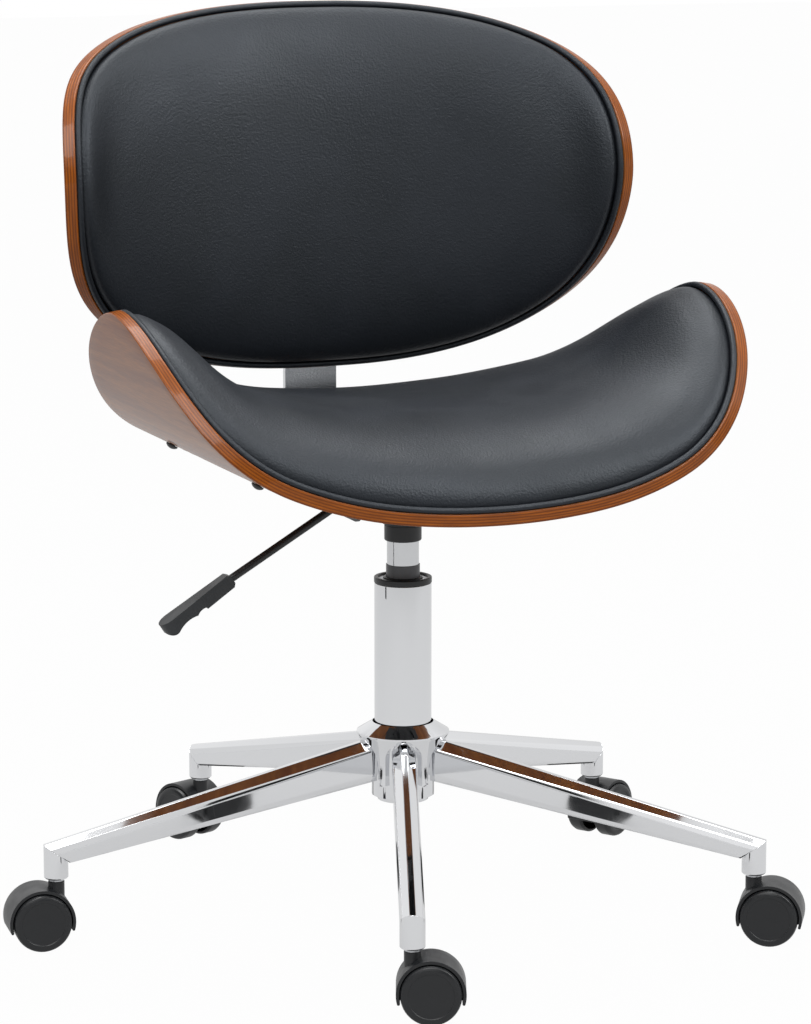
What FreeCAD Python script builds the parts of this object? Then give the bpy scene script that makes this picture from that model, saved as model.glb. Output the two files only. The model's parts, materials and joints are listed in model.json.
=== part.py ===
"""Office chair: bent-ply seat and back with padded covers, a gas lift and a star base on twin-wheel casters.

Millimetres, +Z up. The origin is on the floor on the lift's axis, and the seat faces -Y.
"""
import FreeCAD, Part
import math
import os

Vec = FreeCAD.Vector
CENTRE = Vec(0, 0, 0)
ACROSS = Vec(1, 0, 0)
REARWARD = Vec(0, 1, 0)
UP = Vec(0, 0, 1)
FULL_TURN = 360.0

# Fits, shared by every piece
seat_gap = 0.05             # pieces of one body that are pressed, welded or screwed together
running_gap = 0.08          # radial, a pin, rod or tube in its bore
body_gap = 0.3              # faces of different bodies
overrun = 5.0               # how far a cutter passes beyond what it cuts

# Five-star base
leg_count = 5
front_leg_bearing = -110.2  # degrees, the leg that points at the viewer
stem_circle_radius = 315.0
leg_root_top_z = 160.5
leg_root_height = 37.0
leg_root_width = 26.0
leg_tip_top_z = 90.0
leg_tip_height = 17.5
leg_tip_width = 21.0
leg_wall = 2.5
# Half of the leg's section from the bottom edge to the ridge: shares of half the width, and of the height
leg_section_shares = ((0.96, 1.0), (1.0, 0.46), (0.78, 0.21), (0.24, 0.0))

# Sockets at the leg ends, for the caster stems
socket_foot_z = 59.5
socket_radius = 10.5
socket_chamfer = 1.2
socket_bore_depth = 22.0
seam_drop = 14.0            # the seam falls this far across the socket, towards the hub
seam_below_top = 2.5        # and starts this far below the leg's ridge

# Hub
hub_mouth_radius = 26.8
hub_mouth_z = 173.5
hub_mouth_depth = 10.5
hub_rim_radius = 40.6
hub_rim_z = 165.0
hub_rim_edge = 1.6
hub_waist_radius = 34.4
hub_waist_z = 147.0
hub_foot_radius = 32.2
hub_foot_z = 119.5
hub_sleeve_radius = 27.5
hub_sleeve_foot_z = 108.0
arch_width = 32.0
arch_top_z = 161.5

# Column: outer tube, cap and guide bush
tube_radius = 25.0
tube_wall = 1.8
tube_top_z = 297.0
tube_taper_top_z = 160.0
tube_foot_radius = 22.4
tube_foot_z = 103.5
tube_floor = 3.0
cap_height = 5.5
cap_plug_depth = 9.0
cap_rim_width = 3.4
cap_recess_depth = 2.6
cap_edge_round = 1.4
cap_collar_width = 2.2      # the raised ring next to the bush neck
washer_thickness = 1.0
bush_neck_wall = 0.75
bush_neck_height = 11.0     # above the cap
bush_length = 78.0          # the part inside the tube

# Gas spring
cylinder_radius = 14.0
cylinder_wall = 1.5
cylinder_foot_z = 146.0
cup_foot_z = 334.5
cylinder_top_z = 358.0
cylinder_top_radius = 13.0
cylinder_end = 8.0          # thickness of the closed top, and of the gland at the foot
rod_radius = 5.0
rod_foot_z = 97.5
rod_end_radius = 4.6
piston_foot_z = 240.0
piston_height = 12.0
shoulder_radius = 9.0
shoulder_height = 3.0
bearing_radius = 12.0
bearing_height = 6.5
bearing_ball_radius = 1.6
clip_radius = 8.5
clip_thickness = 1.5
clip_groove_depth = 0.8
clip_mouth = 5.0
buffer_radius = 10.5
buffer_height = 9.0
pin_radius = 3.0
pin_rise = 7.2              # the release pin stands this far above the cylinder

# Taper cup under the seat plate
cup_lip_radius = 16.3
cup_lip_round = 1.6
cup_step_z = 348.0
cup_groove_depth = 0.7
cup_groove_height = 1.6
cup_radius = 17.9
cup_slot_width = 10.0
lever_drop = 5.3            # how far the lever's inner end moves the pin

# Seat shell: half profile as tangent arcs from the middle to the wing tip
seat_underside_z = 384.5
seat_ply = 10.5
seat_arc_radii = (654.0, 362.0, 149.0, 209.0)
seat_arc_sweeps = (7.8, 14.1, 34.3, 24.4)      # degrees
seat_middle_y = -38.0       # the wings' fore-and-aft middle
seat_front_reach = 182.5
seat_rear_reach = 251.0
seat_front_shape = (2.73, 1.885)               # exponents of the rounded outline
seat_rear_shape = (2.06, 1.58)                 # exponents too

# Back shell
back_behind_seat = 18.0     # from the seat shell's rear edge to the spine
back_spine_y = seat_middle_y + seat_rear_reach + back_behind_seat
back_spine_z = 632.0
back_recline = 5.0          # degrees
back_ply = 10.5
back_arc_radii = (562.0, 492.0, 246.0, 111.0)
back_arc_sweeps = (8.0, 9.2, 18.3, 40.7)       # degrees
back_top_reach = 157.4
back_foot_reach = 174.3
back_top_shape = (2.34, 2.13)                  # exponents of the rounded outline
back_foot_shape = (2.47, 1.73)                 # exponents too

# Pads and their welts
welt_radius = 2.8
welt_inset = 3.2            # from the ply's edge to the welt's centre
pad_inset = 8.2             # from the ply's edge to the pad's side
pad_tuck = 3.0              # how far the side draws in at its foot
pad_roll = 20.0             # how far the side rolls in to the shoulder
pad_bulge_share = 0.3       # of the edge's height, where the side stands out furthest
pad_shoulder_share = 0.75   # of the edge's height, where the side meets the crown
seat_pad_edge = 45.0
seat_pad_crown = 16.0
back_pad_edge = 27.0
back_pad_crown = 12.0
pad_ease = 30.0             # how gently the cover rises from the wing tips
pad_reach_share = 0.99      # the last section's place along the half girth
pad_half_sections = 17
outline_nudge = 0.5         # degrees round an outline, to find its direction
outline_points = 56         # on each rail of a panel's cut
welt_rings = 72
welt_sides = 8
pad_lift = 0.7              # from the ply to the pad's foot

# Steel under the seat and behind the back
plate_thickness = 3.0
plate_half_width = 82.0
plate_half_length = 80.0
plate_corner = 14.0
flange_place = 55.0         # from the middle to a flange's outer face
flange_depth = 22.5
flange_half_length = 36.0
flange_corner = 9.0
bar_width = 50.0
bar_thickness = 6.0
bar_start_y = 26.0
bar_bend_radius = 22.0
bar_behind_seat = 16.8      # from the seat shell's rear edge to the bar where it rises
bar_rise_y = seat_middle_y + seat_rear_reach + bar_behind_seat + bar_thickness / 2
bar_kink_radius = 120.0
bar_end_rise = 36.0         # above the back plate's middle
bar_corner = 8.0
back_plate_thickness = 4.0
back_plate_half_width = 52.0
back_plate_half_height = 44.0
back_plate_below_spine = 18.0

# Lever
lever_z = 369.0
lever_radius = 3.5
lever_bend_x = -61.0
lever_bend_radius = 18.0
lever_slope = 30.5          # degrees below level
lever_length = 122.0        # from the bend to the end inside the paddle
lever_tip_x = 5.0
lever_bush_flange = 8.5
lever_bush_neck = 6.5
lever_bush_lip = 1.6
lever_bush_clearance = 0.5
paddle_start = 113.0        # along the sloping rod, from the bend
paddle_slope = 33.5
paddle_length = 74.0
paddle_thickness = 12.5
paddle_inner_width = 11.0
paddle_outer_width = 21.0
grip_depth = 2.6
grip_step = 1.6
grip_start_share = 0.44     # of the paddle's length, where the finger grips start
grip_shares = (0.083, 0.25, 0.5, 0.75, 0.875)   # crests and hollows of the grips, from the tip

# Fasteners
bolt_radius = 3.0
bolt_head_radius = 5.6
bolt_head_height = 3.4
bolt_bite = 7.0             # into the ply
bar_bolt_radius = 4.0
bar_bolt_head_radius = 7.4
bar_bolt_head_height = 4.4
screw_radius = 2.4
screw_head_radius = 5.4
screw_head_height = 3.6
plate_bolt_x = 67.0
plate_bolt_y = 62.0
bar_bolt_ys = (42.0, 66.0)
back_bolt_rises = (-20.0, 18.0)                 # along the spine, from the back plate's middle
back_plate_bolt_x = 40.0
back_plate_bolt_rise = 32.0
seat_screw_girth = 200.0
seat_screw_ys = (-172.0, 48.0)
back_screw_girth = 175.0
back_screw_rises = (-92.0, 92.0)

# Casters
caster_bearings = (-21.6, -31.6, 33.4, 113.4, 173.4)   # degrees, the way each one trails
wheel_radius = 25.0
wheel_width = 15.0
wheel_edge_round = 3.5
wheel_rim_wall = 2.6
wheel_disc = 2.8
wheel_boss_radius = 6.0
wheel_dish_radius = 19.0
wheel_dish_depth = 0.5
caster_trail = 15.0
web_half_width = 7.0
wheel_side_gap = 0.4
axle_radius = 3.0
axle_grip = 12.0            # how far the axle reaches into each wheel
axle_end_gap = 0.5
hood_radius = 28.5
hood_wall = 2.5
hood_width = 37.0
hood_dip = 15.0             # degrees below the axle where the hood ends
web_sag = 9.5
neck_top_z = 57.0
neck_radius = 7.0
stem_foot_z = 33.0
stem_low_radius = 4.0
stem_ring_radius = 6.6
stem_ring_height = 2.0
stem_radius = 5.5
stem_top_z = 80.0
stem_grip_z = 71.0
stem_grip_height = 4.0
stem_grip_depth = 0.6


def export(name, shape):
    """Write one node's STEP file."""
    shape.exportStep("parts/" + name + ".step")


def section_face(start, steps):
    """Face in the XZ plane. Each step is an end point, or a pair (via, end) for an arc. Points are (x, z)."""
    edges = []
    first = Vec(start[0], 0, start[1])
    here = first
    for step in steps:
        if isinstance(step[0], tuple):
            via = Vec(step[0][0], 0, step[0][1])
            there = Vec(step[1][0], 0, step[1][1])
            edges.append(Part.Arc(here, via, there).toShape())
        else:
            there = Vec(step[0], 0, step[1])
            edges.append(Part.LineSegment(here, there).toShape())
        here = there
    if not here.isEqual(first, seat_gap):
        edges.append(Part.LineSegment(here, first).toShape())
    return Part.Face(Part.Wire(edges))


def dome_step(radius, edge_z, top_z):
    """Arc step from (radius, edge_z) to the axis at top_z, level at the axis."""
    rise = abs(top_z - edge_z)
    ball = (radius ** 2 + rise ** 2) / (2 * rise)
    half = math.asin(radius / ball) / 2
    via = (ball * math.sin(half), top_z - math.copysign(ball * (1 - math.cos(half)), top_z - edge_z))
    return via, (0, top_z)


def turned(start, steps):
    """Body of revolution about Z from a section of (radius, z) points."""
    return section_face(start, steps).revolve(CENTRE, UP, FULL_TURN)


def cylinder(radius, foot_z, top_z, x=0.0, y=0.0):
    """Upright round bar between two heights."""
    return Part.makeCylinder(radius, top_z - foot_z, Vec(x, y, foot_z))


def block(low, high):
    """Box between two corners."""
    return Part.makeBox(high[0] - low[0], high[1] - low[1], high[2] - low[2], Vec(*low))


def round_corner(corner_x, corner_z, radius, turn):
    """Arc step through a quarter round at a corner. turn gives the signs of the way in and the way out."""
    (in_x, in_z), (out_x, out_z) = turn
    near = (1 - math.sqrt(0.5)) * radius
    via = (corner_x - (in_x - out_x) * near, corner_z - (in_z - out_z) * near)
    end = (corner_x + out_x * radius, corner_z + out_z * radius)
    return via, end


def strip_face(start, heading, steps, thickness, plane):
    """Face of a bent strip, thick to the left. Steps are ("run", length) or ("bend", radius, degrees)."""
    along, rise = plane
    here = start
    angle = math.radians(heading)
    right = []
    left = []

    def left_of(point, turn):
        return point + (along * -math.sin(turn) + rise * math.cos(turn)) * thickness

    for step in steps:
        if step[0] == "run":
            there = here + (along * math.cos(angle) + rise * math.sin(angle)) * step[1]
            right.append(Part.LineSegment(here, there).toShape())
            left.append(Part.LineSegment(left_of(here, angle), left_of(there, angle)).toShape())
            here = there
            continue
        radius, sweep = step[1], math.radians(step[2])
        side = math.copysign(1, sweep)
        centre = here + (along * -math.sin(angle) + rise * math.cos(angle)) * (side * radius)

        def on_arc(turn):
            return centre - (along * -math.sin(turn) + rise * math.cos(turn)) * (side * radius)

        middle, end = angle + sweep / 2, angle + sweep
        right.append(Part.Arc(here, on_arc(middle), on_arc(end)).toShape())
        outer = (left_of(here, angle), left_of(on_arc(middle), middle), left_of(on_arc(end), end))
        left.append(Part.Arc(*outer).toShape())
        here = on_arc(end)
        angle = end
    first_cap = Part.LineSegment(left[0].Vertexes[0].Point, start).toShape()
    last_cap = Part.LineSegment(here, left_of(here, angle)).toShape()
    return Part.Face(Part.Wire([first_cap] + right + [last_cap] + left[::-1]))


class BentSheet:
    """A sheet bent about one direction: half a profile of tangent arcs, mirrored and carried along its run."""

    def __init__(self, origin, run, rise, radii, sweeps):
        self.origin = origin
        self.run = run
        self.rise = rise
        self.arcs = [(radius, math.radians(sweep)) for radius, sweep in zip(radii, sweeps)]
        self.half_girth = sum(radius * sweep for radius, sweep in self.arcs)

    def angle(self, girth):
        """Bend angle at a distance along the profile, signed like the distance."""
        left = abs(girth)
        turned_by = 0.0
        for radius, sweep in self.arcs:
            step = min(left, radius * sweep)
            turned_by += step / radius
            left -= step
        return math.copysign(turned_by, girth)

    def point(self, girth, place, height):
        """Point at a distance along the profile, a place along the run and a height above the outer face."""
        left = abs(girth)
        across = 0.0
        lift = 0.0
        angle = 0.0
        for radius, sweep in self.arcs:
            step = min(left, radius * sweep)
            end = angle + step / radius
            across += radius * (math.sin(end) - math.sin(angle))
            lift += radius * (math.cos(angle) - math.cos(end))
            angle = end
            left -= step
        across += left * math.cos(angle) - height * math.sin(angle)
        lift += left * math.sin(angle) + height * math.cos(angle)
        return self.origin + ACROSS * math.copysign(across, girth) + self.rise * lift + self.run * place

    def normal(self, girth):
        """Direction that points out of the sitter's side of the sheet."""
        angle = self.angle(girth)
        return ACROSS * -math.sin(angle) + self.rise * math.cos(angle)

    def band(self, low, high, half_girth, from_place, to_place):
        """Solid between two heights above the outer face, and between two places along the run."""
        steps = []
        left = half_girth
        for radius, sweep in self.arcs:
            step = min(left, radius * sweep)
            left -= step
            if step > 0:
                steps.append(("bend", radius - low, math.degrees(step / radius)))
        if left > 0:
            steps.append(("run", left))
        start = self.point(-half_girth, from_place, low)
        heading = -math.degrees(self.angle(half_girth))
        face = strip_face(start, heading, steps[::-1] + steps, high - low, (ACROSS, self.rise))
        return face.extrude(self.run * (to_place - from_place))


class RoundedOutline:
    """Outline on the flat sheet: a wide rounded form with its own reach and fullness at each end."""

    def __init__(self, half_girth, middle, low_reach, low_shape, high_reach, high_shape):
        self.half_girth = half_girth
        self.middle = middle
        self.ends = ((low_reach, low_shape), (high_reach, high_shape))

    def reach(self, girth, end):
        """How far the outline lies from its middle line at a place along the girth. End 0 is low, 1 high."""
        length, (fullness, roundness) = self.ends[end]
        share = min(1.0, abs(girth) / self.half_girth)
        return length * (1 - share ** fullness) ** (1 / roundness)

    def at(self, turn, inset=0.0):
        """Point (girth, place) at an angle round the outline, in radians, drawn in square to the outline."""
        girth = self.half_girth * math.cos(turn)
        side = 1 if math.sin(turn) >= 0 else 0
        place = self.middle + (2 * side - 1) * self.reach(girth, side)
        if inset == 0:
            return girth, place
        nudge = math.radians(outline_nudge)
        before = self.at(turn - nudge)
        after = self.at(turn + nudge)
        across, along = after[0] - before[0], after[1] - before[1]
        length = math.hypot(across, along)
        return girth - inset * along / length, place + inset * across / length

    def inset(self, distance):
        """The same outline drawn in on all sides."""
        (low, low_shape), (high, high_shape) = self.ends
        half = self.half_girth - distance
        return RoundedOutline(half, self.middle, low - distance, low_shape, high - distance, high_shape)


def cut_to_outline(sheet, outline, thickness):
    """Ply panel: the sheet's band, cut square to its surface along the outline."""
    low_reach = outline.ends[0][0]
    high_reach = outline.ends[1][0]
    from_place = outline.middle - low_reach - overrun
    to_place = outline.middle + high_reach + overrun
    band = sheet.band(0, thickness, outline.half_girth + overrun, from_place, to_place)
    rails = []
    for height in (-overrun, thickness + overrun):
        rail = Part.BSplineCurve()
        places = [outline.at(2 * math.pi * i / outline_points) for i in range(outline_points)]
        corners = [sheet.point(girth, place, height) for girth, place in places]
        rail.interpolate(Points=corners, PeriodicFlag=True)
        rails.append(rail.toShape())
    wall = Part.makeRuledSurface(rails[0], rails[1])
    middle = sheet.point(0, outline.middle, thickness / 2)
    pieces = band.generalFuse([wall])[0].Solids
    return next(piece for piece in pieces if piece.isInside(middle, seat_gap, False))


def padded_cover(sheet, outline, ply, edge, crown):
    """Pad on the sheet's inner face: sections across the profile, with drawn-in sides and a crowned top."""
    foot = ply + pad_lift
    sections = []
    for i in range(-pad_half_sections, pad_half_sections + 1):
        share = math.sin(i / pad_half_sections * math.asin(pad_reach_share))
        girth = outline.half_girth * share
        swell = math.sqrt(1 - math.exp((abs(share) - 1) * outline.half_girth / pad_ease))
        side = edge * swell
        top = side + crown * (1 - share ** 2)
        low = outline.middle - outline.reach(girth, 0)
        high = outline.middle + outline.reach(girth, 1)
        tuck = pad_tuck * swell
        roll = pad_roll * swell

        def at(place, height):
            return sheet.point(girth, place, foot + height)

        shoulder = side * pad_shoulder_share
        bulge = side * pad_bulge_share
        corners = [at(low + tuck, 0), at(low + roll, shoulder), at(high - roll, shoulder), at(high - tuck, 0)]
        front = Part.Arc(corners[0], at(low, bulge), corners[1]).toShape()
        cover = Part.Arc(corners[1], at((low + high) / 2, top), corners[2]).toShape()
        rear = Part.Arc(corners[2], at(high, bulge), corners[3]).toShape()
        base = Part.LineSegment(corners[3], corners[0]).toShape()
        sections.append(Part.Wire([front, cover, rear, base]))
    return Part.makeLoft(sections, True, False)


def welt(sheet, outline, ply):
    """Piping that lies along the panel's edge: a run of rings, square to the outline and drawn in from it."""
    height = ply + welt_radius + seat_gap
    nudge = math.radians(outline_nudge)
    rings = []
    for i in range(welt_rings):
        turn = 2 * math.pi * i / welt_rings
        here = sheet.point(*outline.at(turn, welt_inset), height)
        before = sheet.point(*outline.at(turn - nudge), height)
        course = sheet.point(*outline.at(turn + nudge), height) - before
        inward = course.cross(sheet.normal(outline.at(turn)[0])).normalize()
        upward = inward.cross(course).normalize()
        around = [2 * math.pi * side / welt_sides for side in range(welt_sides)]
        ring = [here + (inward * math.cos(a) + upward * math.sin(a)) * welt_radius for a in around]
        rings.append(Part.makePolygon(ring + ring[:1]))
    return Part.makeLoft(rings, True, True, True)


def leg_section(x, shrink, top_drop, foot_drop):
    """Wire of the leg's section at a distance from the hub's axis, in the YZ plane."""
    share = (x - hub_sleeve_radius) / (stem_circle_radius - hub_sleeve_radius)
    half_width = (leg_root_width + (leg_tip_width - leg_root_width) * share) / 2 - shrink
    top = leg_root_top_z + (leg_tip_top_z - leg_root_top_z) * share - top_drop
    height = leg_root_height + (leg_tip_height - leg_root_height) * share - top_drop + foot_drop
    right = [Vec(x, half_width * out, top - height * down) for out, down in leg_section_shares]
    left = [Vec(x, -point.y, point.z) for point in reversed(right)]
    return Part.makePolygon(right + left + right[:1])


def socket_form(grow):
    """Socket's form about the stem's axis, the hub on its -X side: a round post below the slanting seam."""
    radius = socket_radius + grow
    high = leg_tip_top_z + overrun
    slope = seam_drop / (2 * socket_radius)
    seam_z = leg_tip_top_z - seam_below_top - seam_drop / 2 + grow
    side = radius + overrun
    wedge = section_face((-side, seam_z - side * slope), [
        (side, seam_z + side * slope), (side, high + overrun), (-side, high + overrun)])
    wedge = wedge.extrude(REARWARD * (2 * side))
    wedge.translate(REARWARD * -side)
    return cylinder(radius, socket_foot_z, high).cut(wedge)


def stem_bore():
    """Bore for a caster stem, about the stem's axis."""
    return cylinder(stem_radius + seat_gap, socket_foot_z - overrun, socket_foot_z + socket_bore_depth)


def make_socket():
    """Socket under a leg's end, with a chamfered foot and a bore for the stem."""
    form = socket_form(0)
    rim = [edge for edge in form.Edges if edge.BoundBox.ZMax < socket_foot_z + seat_gap]
    return form.makeChamfer(socket_chamfer, rim).cut(stem_bore())


def make_leg():
    """Leg along +X: a folded channel that narrows to the socket, welded to the hub's sleeve."""
    root = hub_sleeve_radius - overrun
    tip = stem_circle_radius + socket_radius + overrun
    outside = Part.makeLoft([leg_section(root, 0, 0, 0), leg_section(tip, 0, 0, 0)], True, True)
    hollow_end = stem_circle_radius - socket_radius - leg_wall
    hollow = Part.makeLoft([leg_section(root - overrun, leg_wall, leg_wall, overrun),
                            leg_section(hollow_end, leg_wall, leg_wall, overrun)], True, True)
    leg = outside.cut(hollow)
    low_z = leg_tip_top_z - leg_tip_height - overrun
    high_z = leg_tip_top_z + overrun
    nose = block((stem_circle_radius, -leg_tip_width, low_z), (tip + overrun, leg_tip_width, high_z))
    nose = nose.cut(cylinder(socket_radius, low_z - overrun, high_z + overrun, stem_circle_radius))
    taken = socket_form(seat_gap).fuse(stem_bore())
    taken.translate(ACROSS * stem_circle_radius)
    sleeve = cylinder(hub_sleeve_radius + seat_gap, hub_sleeve_foot_z, hub_mouth_z)
    return leg.cut(nose).cut(taken).cut(sleeve)


def tube_outer_radius(z):
    """Outer radius of the column tube at a height, tapered below its seat in the hub."""
    if z >= tube_taper_top_z:
        return tube_radius
    share = (z - tube_foot_z) / (tube_taper_top_z - tube_foot_z)
    return tube_foot_radius + (tube_radius - tube_foot_radius) * share


def make_hub():
    """Hub: a flared turned body with a taper bore and an arched window at each leg."""
    foot_bore = tube_outer_radius(hub_sleeve_foot_z) + seat_gap
    seat_bore = tube_radius + seat_gap
    hub = turned((hub_mouth_radius, hub_mouth_z), [
        (hub_rim_radius, hub_rim_z), (hub_rim_radius, hub_rim_z - hub_rim_edge),
        ((hub_waist_radius, hub_waist_z), (hub_foot_radius, hub_foot_z)),
        (hub_sleeve_radius, hub_foot_z), (hub_sleeve_radius, hub_sleeve_foot_z),
        (foot_bore, hub_sleeve_foot_z), (seat_bore, tube_taper_top_z),
        (hub_mouth_radius, hub_mouth_z - hub_mouth_depth)])
    spring_z = arch_top_z - arch_width / 2
    half = arch_width / 2
    arch = section_face((-half, hub_foot_z - overrun), [
        (half, hub_foot_z - overrun), (half, spring_z), ((0, arch_top_z), (-half, spring_z))])
    arch.rotate(CENTRE, UP, 90)
    arch = arch.extrude(ACROSS * (hub_rim_radius + overrun))
    arch = arch.cut(cylinder(hub_sleeve_radius, hub_sleeve_foot_z, hub_mouth_z))
    for i in range(leg_count):
        hub = hub.cut(at_bearing(arch, leg_bearing(i)))
    return hub


def leg_bearing(i):
    """Direction of a leg, in degrees from +X."""
    return front_leg_bearing + FULL_TURN / leg_count * i


def at_bearing(shape, bearing):
    """Copy turned about the column's axis."""
    copy = shape.copy()
    copy.rotate(CENTRE, UP, bearing)
    return copy


def make_outer_tube():
    """Column tube with a tapered foot and a floor that carries the bearing."""
    floor_top = tube_foot_z + tube_floor
    bore = rod_end_radius + running_gap
    return turned((bore, tube_foot_z), [
        (tube_foot_radius, tube_foot_z), (tube_radius, tube_taper_top_z), (tube_radius, tube_top_z),
        (tube_radius - tube_wall, tube_top_z), (tube_radius - tube_wall, tube_taper_top_z),
        (tube_outer_radius(floor_top) - tube_wall, floor_top), (bore, floor_top)])


def make_column_cap():
    """Black ring on the tube's mouth, with a recess round the bush."""
    neck = cylinder_radius + running_gap + bush_neck_wall + seat_gap
    plug = tube_radius - tube_wall - seat_gap
    foot = tube_top_z + seat_gap
    top = tube_top_z + cap_height
    recess_out = tube_radius - cap_rim_width
    recess_in = neck + cap_collar_width
    recess_z = top - cap_recess_depth
    plug_foot = foot - cap_plug_depth
    return turned((neck, plug_foot), [
        (plug, plug_foot), (plug, foot), (tube_radius, foot), (tube_radius, top - cap_edge_round),
        round_corner(tube_radius, top, cap_edge_round, ((0, 1), (-1, 0))),
        (recess_out, top), (recess_out, recess_z), (recess_in, recess_z), (recess_in, top), (neck, top)])


def make_cap_washer():
    """Plated washer that lies in the cap's recess."""
    neck = cylinder_radius + running_gap + bush_neck_wall + seat_gap
    foot = tube_top_z + cap_height - cap_recess_depth + seat_gap
    ring = cylinder(tube_radius - cap_rim_width - seat_gap, foot, foot + washer_thickness)
    return ring.cut(cylinder(neck + cap_collar_width + seat_gap, foot - overrun, foot + overrun))


def make_guide_bush():
    """Sleeve that guides the gas cylinder, thick inside the tube and thin where it shows."""
    bore = cylinder_radius + running_gap
    neck = bore + bush_neck_wall
    body = tube_radius - tube_wall - seat_gap
    body_top = tube_top_z - cap_plug_depth
    neck_top = tube_top_z + cap_height + bush_neck_height
    return turned((bore, body_top - bush_length), [
        (body, body_top - bush_length), (body, body_top), (neck, body_top),
        (neck, neck_top), (bore, neck_top)])


def bearing_foot_z():
    """Height where the thrust bearing stands, on the tube's floor."""
    return tube_foot_z + tube_floor + seat_gap


def make_thrust_bearing():
    """Two washers and a ring of balls between them."""
    bore = rod_end_radius + body_gap
    foot = bearing_foot_z()
    washer = bearing_height / 2 - bearing_ball_radius
    washers = cylinder(bearing_radius, foot, foot + bearing_height)
    gap = cylinder(bearing_radius + overrun, foot + washer, foot + bearing_height - washer)
    washers = washers.cut(gap).cut(cylinder(bore, foot - overrun, foot + bearing_height + overrun))
    cage_radius = (bore + bearing_radius) / 2
    cage_foot = foot + washer + seat_gap
    cage = cylinder(cage_radius + bearing_ball_radius, cage_foot, foot + bearing_height - washer - seat_gap)
    cage = cage.cut(cylinder(cage_radius - bearing_ball_radius, foot, foot + bearing_height))
    return Part.makeCompound(washers.Solids + cage.Solids)


def shoulder_foot_z():
    """Underside of the rod's shoulder, just above the bearing."""
    return bearing_foot_z() + bearing_height + running_gap


def make_piston_rod():
    """Rod with a shoulder on the bearing and a grooved end below the tube's floor."""
    foot = shoulder_foot_z()
    groove = rod_end_radius - clip_groove_depth
    clip_top = tube_foot_z - body_gap
    clip_foot = clip_top - clip_thickness - seat_gap
    return turned((0, rod_foot_z), [
        (rod_end_radius, rod_foot_z), (rod_end_radius, clip_foot), (groove, clip_foot), (groove, clip_top),
        (rod_end_radius, clip_top), (rod_end_radius, foot), (shoulder_radius, foot),
        (shoulder_radius, foot + shoulder_height), (rod_radius, foot + shoulder_height),
        (rod_radius, piston_foot_z + piston_height), (0, piston_foot_z + piston_height)])


def make_rod_clip():
    """Open clip in the rod's groove, under the tube's floor."""
    top = tube_foot_z - body_gap - seat_gap / 2
    groove = rod_end_radius - clip_groove_depth
    clip = cylinder(clip_radius, top - clip_thickness, top)
    clip = clip.cut(cylinder(groove + seat_gap, top - overrun, top + overrun))
    side = clip_mouth / 2
    return clip.cut(block((0, -side, top - overrun), (clip_radius + overrun, side, top + overrun)))


def make_rod_buffer():
    """Rubber bump stop that stands on the rod's shoulder."""
    foot = shoulder_foot_z() + shoulder_height + seat_gap
    waist = buffer_radius - bearing_ball_radius
    bore = rod_radius + seat_gap
    return turned((bore, foot), [
        (buffer_radius, foot), ((waist, foot + buffer_height / 2), (buffer_radius, foot + buffer_height)),
        (bore, foot + buffer_height)])


def make_rod_piston():
    """Piston on the rod's upper end, with a seal groove."""
    outer = cylinder_radius - cylinder_wall - running_gap
    groove = outer - cylinder_wall
    third = piston_height / 3
    bore = rod_radius + seat_gap
    return turned((bore, piston_foot_z), [
        (outer, piston_foot_z), (outer, piston_foot_z + third), (groove, piston_foot_z + third),
        (groove, piston_foot_z + 2 * third), (outer, piston_foot_z + 2 * third),
        (outer, piston_foot_z + piston_height), (bore, piston_foot_z + piston_height)])


def make_gas_cylinder():
    """Pressure tube, closed and tapered at the top, open at the foot for the gland."""
    bore = cylinder_radius - cylinder_wall
    pin_bore = pin_radius + running_gap
    roof = cylinder_top_z - cylinder_end
    return turned((bore, cylinder_foot_z), [
        (cylinder_radius, cylinder_foot_z), (cylinder_radius, cup_foot_z),
        (cylinder_top_radius, cylinder_top_z), (pin_bore, cylinder_top_z), (pin_bore, roof),
        (bore - cylinder_wall, roof), (bore, roof - cylinder_wall)])


def make_rod_gland():
    """Seal plug in the cylinder's foot that the rod passes through."""
    outer = cylinder_radius - cylinder_wall - seat_gap
    gland = cylinder(outer, cylinder_foot_z, cylinder_foot_z + cylinder_end)
    bore = cylinder(rod_radius + running_gap, cylinder_foot_z - overrun, cylinder_foot_z + 2 * cylinder_end)
    return gland.cut(bore)


def make_release_pin():
    """Pin that opens the gas valve."""
    foot = cylinder_top_z - cylinder_end
    return cylinder(pin_radius, foot, cylinder_top_z + pin_rise)


def plate_underside_z():
    """Lowest height of the seat plate's underside, on the middle line."""
    return seat_underside_z - seat_gap - plate_thickness


def make_taper_cup():
    """Cup with a taper bore for the cylinder and a slot for the lever."""
    top = plate_underside_z() - seat_gap
    neck = cylinder_top_radius + seat_gap
    mouth = cylinder_radius + seat_gap
    groove = cup_lip_radius - cup_groove_depth
    groove_z = cup_step_z + cup_groove_height
    cup = turned((mouth, cup_foot_z), [
        (cup_lip_radius - cup_lip_round, cup_foot_z),
        round_corner(cup_lip_radius, cup_foot_z, cup_lip_round, ((1, 0), (0, 1))),
        (cup_lip_radius, cup_step_z), (groove, cup_step_z), (groove, groove_z), (cup_radius, groove_z),
        (cup_radius, top), (neck, top), (neck, cylinder_top_z)])
    slot_foot = lever_z - lever_radius - lever_drop
    side = cup_slot_width / 2
    slot = block((-cup_radius - overrun, -side, slot_foot), (0, side, top + overrun))
    return cup.cut(slot)


def seat_sheet():
    """The seat's bent sheet, with its run from front to rear."""
    return BentSheet(UP * seat_underside_z, REARWARD, UP, seat_arc_radii, seat_arc_sweeps)


def back_sheet():
    """The back's bent sheet, with its run up the reclined spine."""
    lean = math.radians(back_recline)
    run = Vec(0, math.sin(lean), math.cos(lean))
    rise = Vec(0, -math.cos(lean), math.sin(lean))
    return BentSheet(Vec(0, back_spine_y, back_spine_z), run, rise, back_arc_radii, back_arc_sweeps)


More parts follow.
